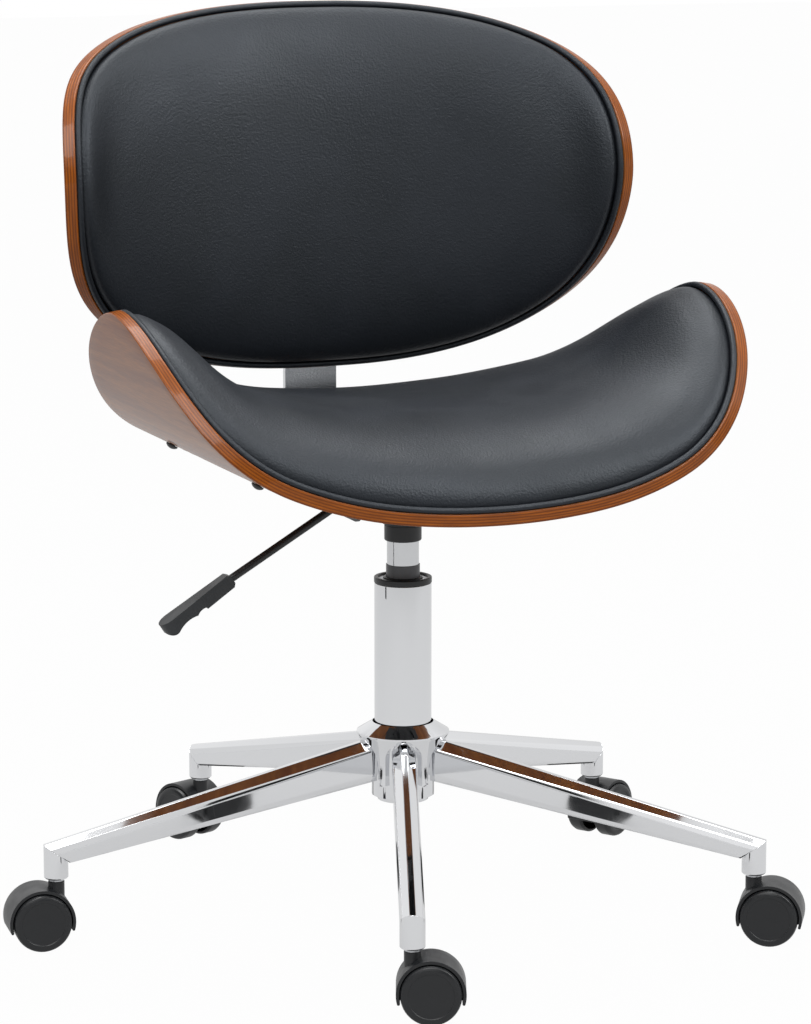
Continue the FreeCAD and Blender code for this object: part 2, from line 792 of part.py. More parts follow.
def placed_on(sheet, girth, place, height, tool):
    """Copy of a tool made about Z, moved to a place on the sheet with Z along the sheet's normal."""
    copy = tool.copy()
    facing = FreeCAD.Rotation(UP, sheet.normal(girth))
    copy.Placement = FreeCAD.Placement(sheet.point(girth, place, height), facing)
    return copy


def make_fastener(radius, length, head_radius, head_height):
    """Domed screw about Z: the head hangs below zero, the shank rises to its length."""
    rim = head_height / 3
    return turned((0, length), [
        (radius, length), (radius, 0), (head_radius, 0), (head_radius, -rim),
        dome_step(head_radius, -rim, -head_height)])


def plate_bolt_places():
    """Seat plate bolts as (girth, place)."""
    return [(x, y) for x in (-plate_bolt_x, plate_bolt_x) for y in (-plate_bolt_y, plate_bolt_y)]


def back_plate_middle():
    """Place of the back plate's middle along the spine."""
    return -back_plate_below_spine


def back_plate_bolt_places():
    """Back plate bolts as (girth, place)."""
    middle = back_plate_middle()
    rises = (middle - back_plate_bolt_rise, middle + back_plate_bolt_rise)
    return [(x, rise) for x in (-back_plate_bolt_x, back_plate_bolt_x) for rise in rises]


def seat_screw_places():
    """Screws that hold the seat pad, as (girth, place)."""
    return [(girth, y) for girth in (-seat_screw_girth, seat_screw_girth) for y in seat_screw_ys]


def back_screw_places():
    """Screws that hold the back pad, as (girth, place)."""
    return [(girth, rise) for girth in (-back_screw_girth, back_screw_girth) for rise in back_screw_rises]


def make_seat_plate(sheet):
    """Pressed plate that follows the shell, with two flanges, one of them bored for the lever's bush."""
    plate = sheet.band(-seat_gap - plate_thickness, -seat_gap, plate_half_width,
                       -plate_half_length, plate_half_length)
    upright = [edge for edge in plate.Edges if abs(edge.Length - plate_thickness) < seat_gap]
    plate = plate.makeFillet(plate_corner, upright)
    foot = plate_underside_z() - flange_depth
    top = sheet.point(flange_place, 0, -plate_thickness / 2).z
    flange = section_face((-flange_half_length + flange_corner, foot), [
        (flange_half_length - flange_corner, foot),
        round_corner(flange_half_length, foot, flange_corner, ((1, 0), (0, 1))),
        (flange_half_length, top), (-flange_half_length, top), (-flange_half_length, foot + flange_corner),
        round_corner(-flange_half_length, foot, flange_corner, ((0, -1), (1, 0)))])
    flange.rotate(CENTRE, UP, 90)
    flange = flange.extrude(ACROSS * plate_thickness)
    for start in (-flange_place, flange_place - plate_thickness):
        side = flange.copy()
        side.translate(ACROSS * start)
        plate = plate.fuse(side)
    hole = Part.makeCylinder(lever_bush_neck + seat_gap, 2 * plate_thickness, Vec(0, 0, 0), ACROSS)
    hole.translate(Vec(-flange_place - plate_thickness / 2, 0, lever_z))
    plate = plate.cut(hole)
    for girth, place in plate_bolt_places():
        hole = cylinder(bolt_radius + seat_gap, -overrun, overrun)
        plate = plate.cut(placed_on(sheet, girth, place, -plate_thickness / 2, hole))
    for y in bar_bolt_ys:
        plate = plate.cut(cylinder(bar_bolt_radius + seat_gap, foot, seat_underside_z + overrun, 0, y))
    return plate


def bar_level_z():
    """Height of the middle of the bar's level part, under the seat plate."""
    return plate_underside_z() - seat_gap - bar_thickness / 2


def bar_steps(back):
    """Course of the back bar's middle line, from its start under the seat to its end behind the plate."""
    lean = math.radians(back_recline)
    behind = 2 * seat_gap + back_plate_thickness + bar_thickness / 2
    top = back.point(0, back_plate_middle() + bar_end_rise, -behind)
    slant = (top.y - bar_rise_y) / math.sin(lean)
    kink_z = top.z - slant * math.cos(lean)
    tangent = bar_kink_radius * math.tan(lean / 2)
    return [("run", bar_rise_y - bar_bend_radius - bar_start_y), ("bend", bar_bend_radius, 90.0),
            ("run", kink_z - tangent - bar_level_z() - bar_bend_radius),
            ("bend", bar_kink_radius, -back_recline), ("run", slant - tangent)]


def make_back_bar(back):
    """Flat bar that runs back under the seat plate, turns up behind the seat and carries the back."""
    steps = []
    for step in bar_steps(back):
        if step[0] == "bend":
            steps.append(("bend", step[1] + math.copysign(bar_thickness / 2, step[2]), step[2]))
        else:
            steps.append(step)
    start = Vec(-bar_width / 2, bar_start_y, bar_level_z() - bar_thickness / 2)
    face = strip_face(start, 0, steps, bar_thickness, (REARWARD, UP))
    bar = face.extrude(ACROSS * bar_width)
    corners = [edge for edge in bar.Edges if abs(edge.Length - bar_thickness) < seat_gap]
    bar = bar.makeFillet(bar_corner, corners)
    for y in bar_bolt_ys:
        bar = bar.cut(cylinder(bar_bolt_radius + seat_gap, bar_level_z() - overrun, seat_underside_z, 0, y))
    hole = cylinder(bar_bolt_radius + seat_gap, -bar_thickness - 2 * overrun, overrun)
    for rise in back_bolt_rises:
        bar = bar.cut(placed_on(back, 0, back_plate_middle() + rise, 0, hole))
    return bar


def make_back_plate(sheet):
    """Curved plate between the bar and the back shell."""
    middle = back_plate_middle()
    plate = sheet.band(-seat_gap - back_plate_thickness, -seat_gap, back_plate_half_width,
                       middle - back_plate_half_height, middle + back_plate_half_height)
    corners = [edge for edge in plate.Edges if abs(edge.Length - back_plate_thickness) < seat_gap]
    plate = plate.makeFillet(plate_corner, corners)
    for girth, place in back_plate_bolt_places():
        hole = cylinder(bolt_radius + seat_gap, -overrun, overrun)
        plate = plate.cut(placed_on(sheet, girth, place, -back_plate_thickness / 2, hole))
    for rise in back_bolt_rises:
        hole = cylinder(bar_bolt_radius + seat_gap, -2 * overrun, overrun)
        plate = plate.cut(placed_on(sheet, 0, middle + rise, 0, hole))
    return plate


def make_plate_bolts(seat, back):
    """Bolts through the seat plate and the back plate into the ply."""
    bolts = []
    for sheet, thickness, places in ((seat, plate_thickness, plate_bolt_places()),
                                     (back, back_plate_thickness, back_plate_bolt_places())):
        length = thickness + 3 * seat_gap + bolt_bite
        bolt = make_fastener(bolt_radius, length, bolt_head_radius, bolt_head_height)
        for girth, place in places:
            bolts.append(placed_on(sheet, girth, place, -thickness - 2 * seat_gap, bolt))
    return Part.makeCompound(bolts)


def make_bar_bolts(seat, back):
    """Bolts that hold the bar to the seat plate and to the back."""
    bolts = []
    middle = back_plate_middle()
    for sheet, plate, places in ((seat, plate_thickness, bar_bolt_ys),
                                 (back, back_plate_thickness, [middle + rise for rise in back_bolt_rises])):
        stack = bar_thickness + plate + 3 * seat_gap
        bolt = make_fastener(bar_bolt_radius, stack + bolt_bite, bar_bolt_head_radius, bar_bolt_head_height)
        for place in places:
            bolts.append(placed_on(sheet, 0, place, -stack, bolt))
    return Part.makeCompound(bolts)


def make_pad_screws(seat, back):
    """Domed screws through the ply into the pads' boards."""
    screws = []
    for sheet, ply, places in ((seat, seat_ply, seat_screw_places()), (back, back_ply, back_screw_places())):
        screw = make_fastener(screw_radius, ply, screw_head_radius, screw_head_height)
        for girth, place in places:
            screws.append(placed_on(sheet, girth, place, -seat_gap, screw))
    return Part.makeCompound(screws)


def drill_shell(shell, sheet, ply, bolt_places, bar_places, screw_places):
    """Bolt holes that stop inside the ply, and screw holes through it."""
    for places, radius, depth in ((bolt_places, bolt_radius, bolt_bite),
                                  (bar_places, bar_bolt_radius, bolt_bite),
                                  (screw_places, screw_radius, ply + overrun)):
        hole = cylinder(radius + seat_gap, -overrun, depth + body_gap)
        for girth, place in places:
            shell = shell.cut(placed_on(sheet, girth, place, 0, hole))
    return shell


def make_lever_bush():
    """Plastic bush in the plate's flange that the lever rocks in."""
    bore = lever_radius + lever_bush_clearance
    neck_end = plate_thickness + seat_gap
    bush = turned((bore, -lever_bush_lip - seat_gap), [
        (lever_bush_flange, -lever_bush_lip - seat_gap), (lever_bush_flange, -seat_gap),
        (lever_bush_neck, -seat_gap),
        (lever_bush_neck, neck_end + lever_bush_lip / 2), (bore, neck_end + lever_bush_lip / 2)])
    bush.rotate(CENTRE, REARWARD, 90)
    bush.translate(Vec(-flange_place, 0, lever_z))
    return bush


def lever_direction(slope):
    """Unit vector that falls away to the -X side."""
    turn = math.radians(slope)
    return Vec(-math.cos(turn), 0, -math.sin(turn))


def make_lever_rod():
    """Round rod: level over the release pin, then bent down towards the sitter's hand."""
    bend = Vec(lever_bend_x, 0, lever_z)
    turn = math.radians(lever_slope)
    tangent = lever_bend_radius * math.tan(turn / 2)
    start = Vec(lever_tip_x, 0, lever_z)
    first = bend + ACROSS * tangent
    second = bend + lever_direction(lever_slope) * tangent
    centre = first - UP * lever_bend_radius
    middle = centre + Vec(-math.sin(turn / 2), 0, math.cos(turn / 2)) * lever_bend_radius
    end = bend + lever_direction(lever_slope) * lever_length
    path = Part.Wire([Part.LineSegment(start, first).toShape(), Part.Arc(first, middle, second).toShape(),
                      Part.LineSegment(second, end).toShape()])
    ring = Part.Wire([Part.Circle(start, ACROSS * -1, lever_radius).toShape()])
    return path.makePipeShell([ring], True, False)


def make_lever_paddle():
    """Moulded handle: a drop-shaped top, finger grips underneath, bored for the rod."""
    half = paddle_thickness / 2
    length = paddle_length
    corner = grip_depth
    foot = -half
    grip_start = grip_start_share * length
    tip, crest, hollow, ridge, dip = [length - share * (length - grip_start) for share in grip_shares]
    side = section_face((corner, half), [
        (length, half), (length, foot + grip_step + grip_depth),
        ((tip, foot), (crest, foot)), ((hollow, foot + grip_depth), (ridge, foot + grip_step / 2)),
        ((dip, foot + grip_depth), (grip_start, foot + grip_step)),
        (grip_start, foot), (corner, foot), (0, foot + corner), (0, half - corner)])
    side = side.extrude(REARWARD * paddle_outer_width)
    side.translate(REARWARD * (-paddle_outer_width / 2))
    nose = paddle_outer_width / 2
    root = paddle_inner_width / 2
    plan = section_face((0, -root), [
        (length - nose, -nose), ((length, 0), (length - nose, nose)), (0, root)])
    plan.rotate(CENTRE, ACROSS, -90)
    plan = plan.extrude(UP * (2 * paddle_thickness))
    plan.translate(UP * -paddle_thickness)
    paddle = side.common(plan)
    paddle.rotate(CENTRE, UP, 180)
    paddle.rotate(CENTRE, REARWARD, -paddle_slope)
    place = Vec(lever_bend_x, 0, lever_z) + lever_direction(lever_slope) * paddle_start
    paddle.translate(place)
    return paddle.cut(widened_rod())


def widened_rod():
    """The rod's sloping end, a fit larger, for the paddle's bore."""
    start = Vec(lever_bend_x, 0, lever_z) + lever_direction(lever_slope) * (paddle_start - overrun)
    length = lever_length - paddle_start + overrun + seat_gap
    return Part.makeCylinder(lever_radius + seat_gap, length, start, lever_direction(lever_slope))


def wheel_inner_place():
    """Distance from the caster's middle plane to a wheel's inner side."""
    return web_half_width + wheel_side_gap


def make_wheel(side):
    """Moulded wheel, hollow towards the web, about the axle of a caster that trails along +X."""
    hollow = wheel_width - wheel_disc
    rim = wheel_radius - wheel_rim_wall
    bore = axle_radius + running_gap
    bore_end = axle_grip + axle_end_gap
    edge = wheel_radius - wheel_edge_round
    inner_edge = wheel_rim_wall / 2
    dish = wheel_width - wheel_dish_depth
    wheel = turned((bore, 0), [
        (wheel_boss_radius, 0), (wheel_boss_radius, hollow), (rim, hollow), (rim, 0),
        (wheel_radius - inner_edge, 0), (wheel_radius, inner_edge),
        (wheel_radius, wheel_width - wheel_edge_round),
        round_corner(wheel_radius, wheel_width, wheel_edge_round, ((0, 1), (-1, 0))),
        (wheel_dish_radius, wheel_width), (wheel_dish_radius - wheel_dish_depth, dish),
        (0, dish), (0, bore_end), (bore, bore_end)])
    wheel.rotate(CENTRE, ACROSS, -90 * side)
    wheel.translate(Vec(caster_trail, side * wheel_inner_place(), wheel_radius))
    return wheel


def polar(radius, angle, onward=0.0):
    """Point (x, z) at an angle in radians, shifted onward along the circle's tangent."""
    cosine, sine = math.cos(angle), math.sin(angle)
    return radius * cosine - onward * sine, radius * sine + onward * cosine


def make_hood():
    """Caster body that trails along +X: a curved cover over the wheels, a web between them and a neck."""
    start = -math.radians(hood_dip)
    end = math.pi - start
    inner = hood_radius - hood_wall
    middle = (hood_radius + inner) / 2
    tip = hood_wall / 2
    top = math.pi / 2
    cover = section_face(polar(hood_radius, start), [
        (polar(hood_radius, top), polar(hood_radius, end)), (polar(middle, end, tip), polar(inner, end)),
        (polar(inner, top), polar(inner, start)), (polar(middle, start, -tip), polar(hood_radius, start))])
    cover = cover.extrude(REARWARD * hood_width)
    cover.translate(REARWARD * (-hood_width / 2))
    web = section_face(polar(middle, start), [
        (polar(middle, top), polar(middle, end)), ((0, -web_sag), polar(middle, start))])
    web = web.extrude(REARWARD * (2 * web_half_width))
    web.translate(REARWARD * -web_half_width)
    hood = cover.fuse(web)
    hood.translate(Vec(caster_trail, 0, wheel_radius))
    hood = hood.fuse(cylinder(neck_radius, wheel_radius, neck_top_z)).removeSplitter()
    hood = hood.cut(cylinder(stem_low_radius + running_gap, stem_foot_z - body_gap, neck_top_z + overrun))
    bore = Part.makeCylinder(axle_radius + seat_gap, 4 * web_half_width, CENTRE, REARWARD)
    bore.translate(Vec(caster_trail, -2 * web_half_width, wheel_radius))
    return hood.cut(bore)


def make_axle():
    """Steel pin through the web, on which both wheels turn."""
    half = wheel_inner_place() + axle_grip
    axle = Part.makeCylinder(axle_radius, 2 * half, CENTRE, REARWARD)
    axle.translate(Vec(caster_trail, -half, wheel_radius))
    return axle


def make_stem():
    """Stem that the caster turns on: a ring that bears on the neck, and a grip groove inside the socket."""
    ring_foot = neck_top_z + body_gap
    ring_top = ring_foot + stem_ring_height
    groove = stem_radius - stem_grip_depth
    groove_top = stem_grip_z + stem_grip_height
    return turned((0, stem_foot_z), [
        (stem_low_radius, stem_foot_z), (stem_low_radius, ring_foot), (stem_ring_radius, ring_foot),
        (stem_ring_radius, ring_top), (stem_radius, ring_top), (stem_radius, stem_grip_z),
        (groove, stem_grip_z), (groove, groove_top), (stem_radius, groove_top),
        (stem_radius, stem_top_z - stem_grip_depth), (groove, stem_top_z), (0, stem_top_z)])


def at_stem(shape, i, bearing):
    """Copy turned to a bearing and moved to a leg's stem axis."""
    copy = at_bearing(shape, bearing)
    turn = math.radians(leg_bearing(i))
    copy.translate(Vec(math.cos(turn), math.sin(turn), 0) * stem_circle_radius)
    return copy


def build_base():
    """Hub, legs and sockets."""
    export("base_hub", make_hub())
    socket = make_socket()
    leg = make_leg()
    sockets = []
    for i in range(leg_count):
        export("base_leg_%d" % (i + 1), at_bearing(leg, leg_bearing(i)))
        sockets.append(at_stem(socket, i, leg_bearing(i)))
    export("stem_sockets", Part.makeCompound(sockets))


def build_casters():
    """Five casters, each with its stem, hood, axle and two wheels."""
    hood = make_hood()
    axle = make_axle()
    stem = make_stem()
    wheels = {"left": make_wheel(1), "right": make_wheel(-1)}
    for i, bearing in enumerate(caster_bearings):
        number = str(i + 1)
        export("caster_stem_" + number, at_stem(stem, i, bearing))
        export("caster_hood_" + number, at_stem(hood, i, bearing))
        export("caster_axle_" + number, at_stem(axle, i, bearing))
        for side, wheel in wheels.items():
            export("wheel_" + side + "_" + number, at_stem(wheel, i, bearing))


def build_column():
    """Outer tube with its fittings, and the gas spring inside it."""
    export("outer_tube", make_outer_tube())
    export("column_cap", make_column_cap())
    export("cap_washer", make_cap_washer())
    export("guide_bush", make_guide_bush())
    export("thrust_bearing", make_thrust_bearing())
    export("piston_rod", make_piston_rod())
    export("rod_clip", make_rod_clip())
    export("rod_buffer", make_rod_buffer())
    export("rod_piston", make_rod_piston())
    export("gas_cylinder", make_gas_cylinder())
    export("rod_gland", make_rod_gland())
    export("release_pin", make_release_pin())


def build_upper():
    """Seat, back, their steelwork and the lever."""
    seat = seat_sheet()
    back = back_sheet()
    seat_outline = RoundedOutline(seat.half_girth, seat_middle_y, seat_front_reach, seat_front_shape,
                                  seat_rear_reach, seat_rear_shape)
    back_outline = RoundedOutline(back.half_girth, 0, back_foot_reach, back_foot_shape,
                                  back_top_reach, back_top_shape)
    shell = cut_to_outline(seat, seat_outline, seat_ply)
    bar_places = [(0, y) for y in bar_bolt_ys]
    shell = drill_shell(shell, seat, seat_ply, plate_bolt_places(), bar_places, seat_screw_places())
    export("seat_shell", shell)
    shell = cut_to_outline(back, back_outline, back_ply)
    bar_places = [(0, back_plate_middle() + rise) for rise in back_bolt_rises]
    shell = drill_shell(shell, back, back_ply, back_plate_bolt_places(), bar_places, back_screw_places())
    export("back_shell", shell)
    pad_outline = seat_outline.inset(pad_inset)
    export("seat_pad", padded_cover(seat, pad_outline, seat_ply, seat_pad_edge, seat_pad_crown))
    pad_outline = back_outline.inset(pad_inset)
    export("back_pad", padded_cover(back, pad_outline, back_ply, back_pad_edge, back_pad_crown))
    export("seat_welt", welt(seat, seat_outline, seat_ply))
    export("back_welt", welt(back, back_outline, back_ply))
    export("seat_plate", make_seat_plate(seat))
    export("taper_cup", make_taper_cup())
    export("back_bar", make_back_bar(back))
    export("back_plate", make_back_plate(back))
    export("plate_bolts", make_plate_bolts(seat, back))
    export("bar_bolts", make_bar_bolts(seat, back))
    export("pad_screws", make_pad_screws(seat, back))
    export("lever_bush", make_lever_bush())
    export("lever_rod", make_lever_rod())
    export("lever_paddle", make_lever_paddle())


os.makedirs("parts", exist_ok=True)
build_base()
build_casters()
build_column()
build_upper()
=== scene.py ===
"""Office chair with bent-ply seat and back, padded synthetic leather covers, a gas lift and a star base.

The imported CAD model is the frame. The round, bent and padded pieces are made again here as smooth surfaces,
and every finish is procedural. Lengths are metres, and MM turns a size in millimetres into metres.
"""
import json
import math
import bpy
import mathutils
import numpy as np
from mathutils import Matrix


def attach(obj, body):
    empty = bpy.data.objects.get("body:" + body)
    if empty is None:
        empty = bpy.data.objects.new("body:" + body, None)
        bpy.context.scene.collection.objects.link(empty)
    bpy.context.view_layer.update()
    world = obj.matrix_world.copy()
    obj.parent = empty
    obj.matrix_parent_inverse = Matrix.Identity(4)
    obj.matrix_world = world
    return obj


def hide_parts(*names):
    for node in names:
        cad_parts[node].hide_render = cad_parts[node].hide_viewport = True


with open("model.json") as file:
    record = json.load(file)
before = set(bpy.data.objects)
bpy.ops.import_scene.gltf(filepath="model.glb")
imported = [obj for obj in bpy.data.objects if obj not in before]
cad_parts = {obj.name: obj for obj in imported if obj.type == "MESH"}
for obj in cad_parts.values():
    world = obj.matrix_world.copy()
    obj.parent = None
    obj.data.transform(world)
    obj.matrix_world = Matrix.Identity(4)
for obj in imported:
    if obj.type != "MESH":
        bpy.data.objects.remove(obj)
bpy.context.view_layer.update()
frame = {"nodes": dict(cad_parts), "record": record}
cad_nodes = frame["nodes"]
MM = 0.001

# ---------------------------------------------------------------- sizes
# They are the CAD source's, with two exceptions. The legs' tips and posts reach 2 mm higher here, and the
# welts' and cushions' numbers are up to 4 mm less, set by the photograph with the cloth test's swell added.

seat_underside_z = 384.5 * MM
seat_ply = 10.5 * MM
seat_radii = (654.0, 362.0, 149.0, 209.0)          # mm, from the middle to the wing tip
seat_sweeps = (7.8, 14.1, 34.3, 24.4)              # degrees
back_spine = (0.0, 231.0 * MM, 632.0 * MM)
back_recline = math.radians(5.0)
back_ply = 10.5 * MM
back_radii = (562.0, 492.0, 246.0, 111.0)
back_sweeps = (8.0, 9.2, 18.3, 40.7)
bend_blend = 22.0 * MM                             # how far a change of bend is eased
edge_round = 0.9 * MM                              # the ply's sanded edge
welt_radius = 2.8 * MM
welt_inset = 3.1 * MM
pad_inset = 6.1 * MM
seat_cushion_sizes = (45 * MM, 15 * MM, 26 * MM)   # edge height, crown above it, reach of the edge's rise
back_cushion_sizes = (25 * MM, 12 * MM, 26 * MM)

leg_count = 5
leg_start = 27.6 * MM                              # from the column's axis
leg_root_place = 27.5 * MM                         # where the root sizes hold
leg_root_width, leg_tip_width = 26.0 * MM, 21.0 * MM
leg_root_top, leg_tip_top = 160.5 * MM, 92.0 * MM
leg_root_height, leg_tip_height = 37.0 * MM, 19.5 * MM
leg_wall = 2.5 * MM
leg_fold_places = (0.0, 0.24, 0.78, 1.0)           # shares of the half width
leg_fold_drops = (0.0, 0.0, 0.21, 0.46)            # shares of the height
leg_fold_ease = 0.035                              # share of the half width that a fold's bend takes
leg_side_lean = 0.04                               # share by which the lower edges draw in
nose_turn = math.radians(88)                       # stops short of the tip, where the sections would vanish
socket_radius = 10.5 * MM
socket_bore = 5.6 * MM
socket_foot_z, socket_foot_chamfer = 59.5 * MM, 1.2 * MM
seam_high_z, seam_drop = 89.3 * MM, 15.5 * MM
stem_circle_radius = 315.0 * MM
front_leg_bearing = -110.2                         # degrees
caster_bearings = (-21.6, -31.6, 33.4, 113.4, 173.4)
caster_trail = 15.0 * MM
wheel_radius = 25.0 * MM
wheel_inner_place = 7.4 * MM


# ---------------------------------------------------------------- meshes

def grid_faces(rows, columns, wrap_rows, wrap_columns):
    """Quads of a grid whose vertices are numbered row by row."""
    row = np.arange(rows if wrap_rows else rows - 1)
    column = np.arange(columns if wrap_columns else columns - 1)
    row, column = np.meshgrid(row, column, indexing="ij")
    next_row, next_column = (row + 1) % rows, (column + 1) % columns
    corners = (row * columns + column, row * columns + next_column,
               next_row * columns + next_column, next_row * columns + column)
    return np.stack([corner.ravel() for corner in corners], axis=1)


def surface(name, points, wrap_rows=False, wrap_columns=False, caps=False, flip=False, uv=None, layers=None):
    """Object from a grid of points (rows, columns, 3). Caps close the first and last rows with a fan.

    uv is a (rows, columns, 2) array, and layers maps attribute names to (rows, columns) arrays."""
    rows, columns = points.shape[:2]
    vertices = points.reshape(-1, 3)
    faces = grid_faces(rows, columns, wrap_rows, wrap_columns)
    extra = {key: value.ravel() for key, value in (layers or {}).items()}
    flat = None if uv is None else uv.reshape(-1, 2)
    triangles = np.zeros((0, 3), int)
    if caps:
        count = len(vertices)
        ends = points[[0, -1]].mean(axis=1)
        vertices = np.concatenate([vertices, ends])
        around = np.arange(columns)
        after = (around + 1) % columns
        end = (rows - 1) * columns
        first = np.stack([np.full(columns, count), after, around], axis=1)
        last = np.stack([np.full(columns, count + 1), around + end, after + end], axis=1)
        triangles = np.concatenate([first, last])
        extra = {key: np.concatenate([value, value[[0, -1]]]) for key, value in extra.items()}
        if flat is not None:
            flat = np.concatenate([flat, uv[[0, -1]].mean(axis=1)])
    if flip:
        faces, triangles = faces[:, ::-1], triangles[:, ::-1]
    mesh = bpy.data.meshes.new(name)
    mesh.from_pydata(vertices.tolist(), [], faces.tolist() + triangles.tolist())
    mesh.polygons.foreach_set("use_smooth", np.ones(len(mesh.polygons), bool))
    for key, value in extra.items():
        layer = mesh.attributes.new(key, "FLOAT", "POINT")
        layer.data.foreach_set("value", np.ascontiguousarray(value, np.float32))
    if flat is not None:
        loops = np.zeros(len(mesh.loops), np.int32)
        mesh.loops.foreach_get("vertex_index", loops)
        mesh.uv_layers.new(name="Surface").data.foreach_set("uv", flat[loops].astype(np.float32).ravel())
    mesh.validate()
    thing = bpy.data.objects.new(name, mesh)
    bpy.context.scene.collection.objects.link(thing)
    return thing


def finish(thing, material, body, replaced=()):
    """Gives a piece its finish and its body, and hides the CAD nodes that it stands for."""
    thing.data.materials.clear()
    thing.data.materials.append(material)
    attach(thing, body)
    if replaced:
        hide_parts(*replaced)
    return thing


def turn_about(points, axis, angle, centre=(0.0, 0.0, 0.0)):
    """Points turned about a unit axis through a centre, by Rodrigues' formula."""
    axis, centre = np.asarray(axis, float), np.asarray(centre, float)
    arm = points - centre
    return (arm * math.cos(angle) + np.cross(axis, arm) * math.sin(angle)
            + axis * (arm @ axis)[..., None] * (1 - math.cos(angle)) + centre)


def unit(vector):
    """Vectors scaled to length one."""
    return vector / np.linalg.norm(vector, axis=-1, keepdims=True)


def rounded(corners, radius, steps=5, closed=False):
    """Polyline or loop whose corners are quadratic curves, which begin and end a radius from the corner."""
    corners = np.asarray(corners, float)
    before, after = np.roll(corners, 1, axis=0), np.roll(corners, -1, axis=0)
    shorter = np.minimum(np.linalg.norm(corners - before, axis=1), np.linalg.norm(after - corners, axis=1))
    reach = np.minimum(radius, 0.45 * shorter)
    start = corners + unit(before - corners + 1e-12) * reach[:, None]
    end = corners + unit(after - corners + 1e-12) * reach[:, None]
    t = np.linspace(0, 1, steps)[None, :, None]
    curves = (1 - t) ** 2 * start[:, None] + 2 * t * (1 - t) * corners[:, None] + t ** 2 * end[:, None]
    if not closed:
        curves[0] = corners[0]
        curves[-1] = corners[-1]
        inner = curves[1:-1].reshape(-1, corners.shape[1])
        return np.concatenate([corners[:1], inner, corners[-1:]])
    return curves.reshape(-1, corners.shape[1])


def lathe(line, columns):
    """Rings (rows, columns, 3) of the (radius, height) points of a line, turned about Z."""
    angle = np.linspace(0, 2 * math.pi, columns, endpoint=False)
    return np.stack([line[:, :1] * np.cos(angle), line[:, :1] * np.sin(angle),
                     np.repeat(line[:, 1:], columns, axis=1)], axis=-1)


def tube(path, radius, columns=20):
    """Rings (rows, columns, 3) of a round tube along a path that lies in the XZ plane."""
    along = unit(np.gradient(path, axis=0))
    side = np.array([0.0, 1.0, 0.0])
    up = np.cross(along, side)
    angle = np.linspace(0, 2 * math.pi, columns, endpoint=False)
    ring = np.cos(angle)[None, :, None] * side + np.sin(angle)[None, :, None] * up[:, None]
    return path[:, None] + ring * radius


# ---------------------------------------------------------------- the bent sheets and their outlines

class BentSheet:
    """A sheet bent about its run. The bend angle grows along the girth by the arcs' sweeps, eased where they
    meet, and the profile is the integral of that angle's cosine and sine."""

    def __init__(self, origin, run, rise, radii, sweeps):
        self.origin, self.run, self.rise = (np.asarray(value, float) for value in (origin, run, rise))
        sweeps = np.radians(sweeps)
        lengths = np.asarray(radii) * MM * sweeps
        self.half_girth = lengths.sum()
        knots = np.concatenate([[0], np.cumsum(lengths), [2 * self.half_girth]])
        turns = np.concatenate([[0], np.cumsum(sweeps), [sweeps.sum()]])
        self.places = np.linspace(0, 1.2 * self.half_girth, 1500)
        step = self.places[1]
        ease = np.hanning(2 * int(bend_blend / step) + 1)
        reach = len(ease) // 2
        wide = np.arange(-reach, len(self.places) + reach) * step
        sharp = np.sign(wide) * np.interp(np.abs(wide), knots, turns)
        self.turns = np.convolve(sharp, ease / ease.sum(), "valid")
        mean = (self.turns[1:] + self.turns[:-1]) / 2
        self.across = np.concatenate([[0], np.cumsum(np.cos(mean)) * step])
        self.lift = np.concatenate([[0], np.cumsum(np.sin(mean)) * step])

    def turn(self, girth):
        """Bend angle at a place along the girth."""
        return np.sign(girth) * np.interp(np.abs(girth), self.places, self.turns)

    def normal(self, girth):
        """Direction towards the sitter."""
        turn = self.turn(girth)[..., None]
        return -np.sin(turn) * np.array([1.0, 0, 0]) + np.cos(turn) * self.rise

    def point(self, girth, place, height):
        """Points at a place along the girth, a place along the run and a height over the outer face."""
        girth, place, height = np.broadcast_arrays(girth, place, height)
        across = np.sign(girth) * np.interp(np.abs(girth), self.places, self.across)
        lift = np.interp(np.abs(girth), self.places, self.lift)
        foot = self.origin + across[..., None] * np.array([1.0, 0, 0]) + lift[..., None] * self.rise
        return foot + place[..., None] * self.run + height[..., None] * self.normal(girth)


class Outline:
    """Rounded outline on the flat sheet. Each end's reach is (1 - w ** fullness) ** (1 / roundness) of its
    length, where w is the share of the half girth."""

    def __init__(self, half_girth, middle, low_reach, low_shape, high_reach, high_shape):
        self.half_girth, self.middle = half_girth, middle
        self.ends = ((low_reach, low_shape), (high_reach, high_shape))

    def reach(self, girth, end):
        """Distance from the middle line to the outline at an end."""
        length, (fullness, roundness) = self.ends[end]
        share = np.minimum(1.0, np.abs(girth) / self.half_girth)
        return length * (1 - share ** fullness) ** (1 / roundness)

    def at(self, turn, inset=0.0):
        """(girth, place) round the outline, moved inwards along its normal."""
        girth = self.half_girth * np.cos(turn)
        place = self.middle + np.where(np.sin(turn) >= 0, self.reach(girth, 1), -self.reach(girth, 0))
        flat = np.stack([girth, place], axis=-1)
        course = unit(np.roll(flat, -1, axis=0) - np.roll(flat, 1, axis=0))
        inward = np.stack([-course[:, 1], course[:, 0]], axis=-1)
        return flat + inward * np.asarray(inset)[..., None]


seat_sheet = BentSheet((0, 0, seat_underside_z), (0, 1, 0), (0, 0, 1), seat_radii, seat_sweeps)
back_sheet = BentSheet(back_spine, (0, math.sin(back_recline), math.cos(back_recline)),
                       (0, -math.cos(back_recline), math.sin(back_recline)), back_radii, back_sweeps)
seat_outline = Outline(seat_sheet.half_girth, -38.0 * MM, 182.5 * MM, (2.73, 1.885), 251.0 * MM, (2.06, 1.58))
back_outline = Outline(back_sheet.half_girth, 0.0, 174.3 * MM, (2.47, 1.73), 157.4 * MM, (2.34, 2.13))


# ---------------------------------------------------------------- camera, light and floor

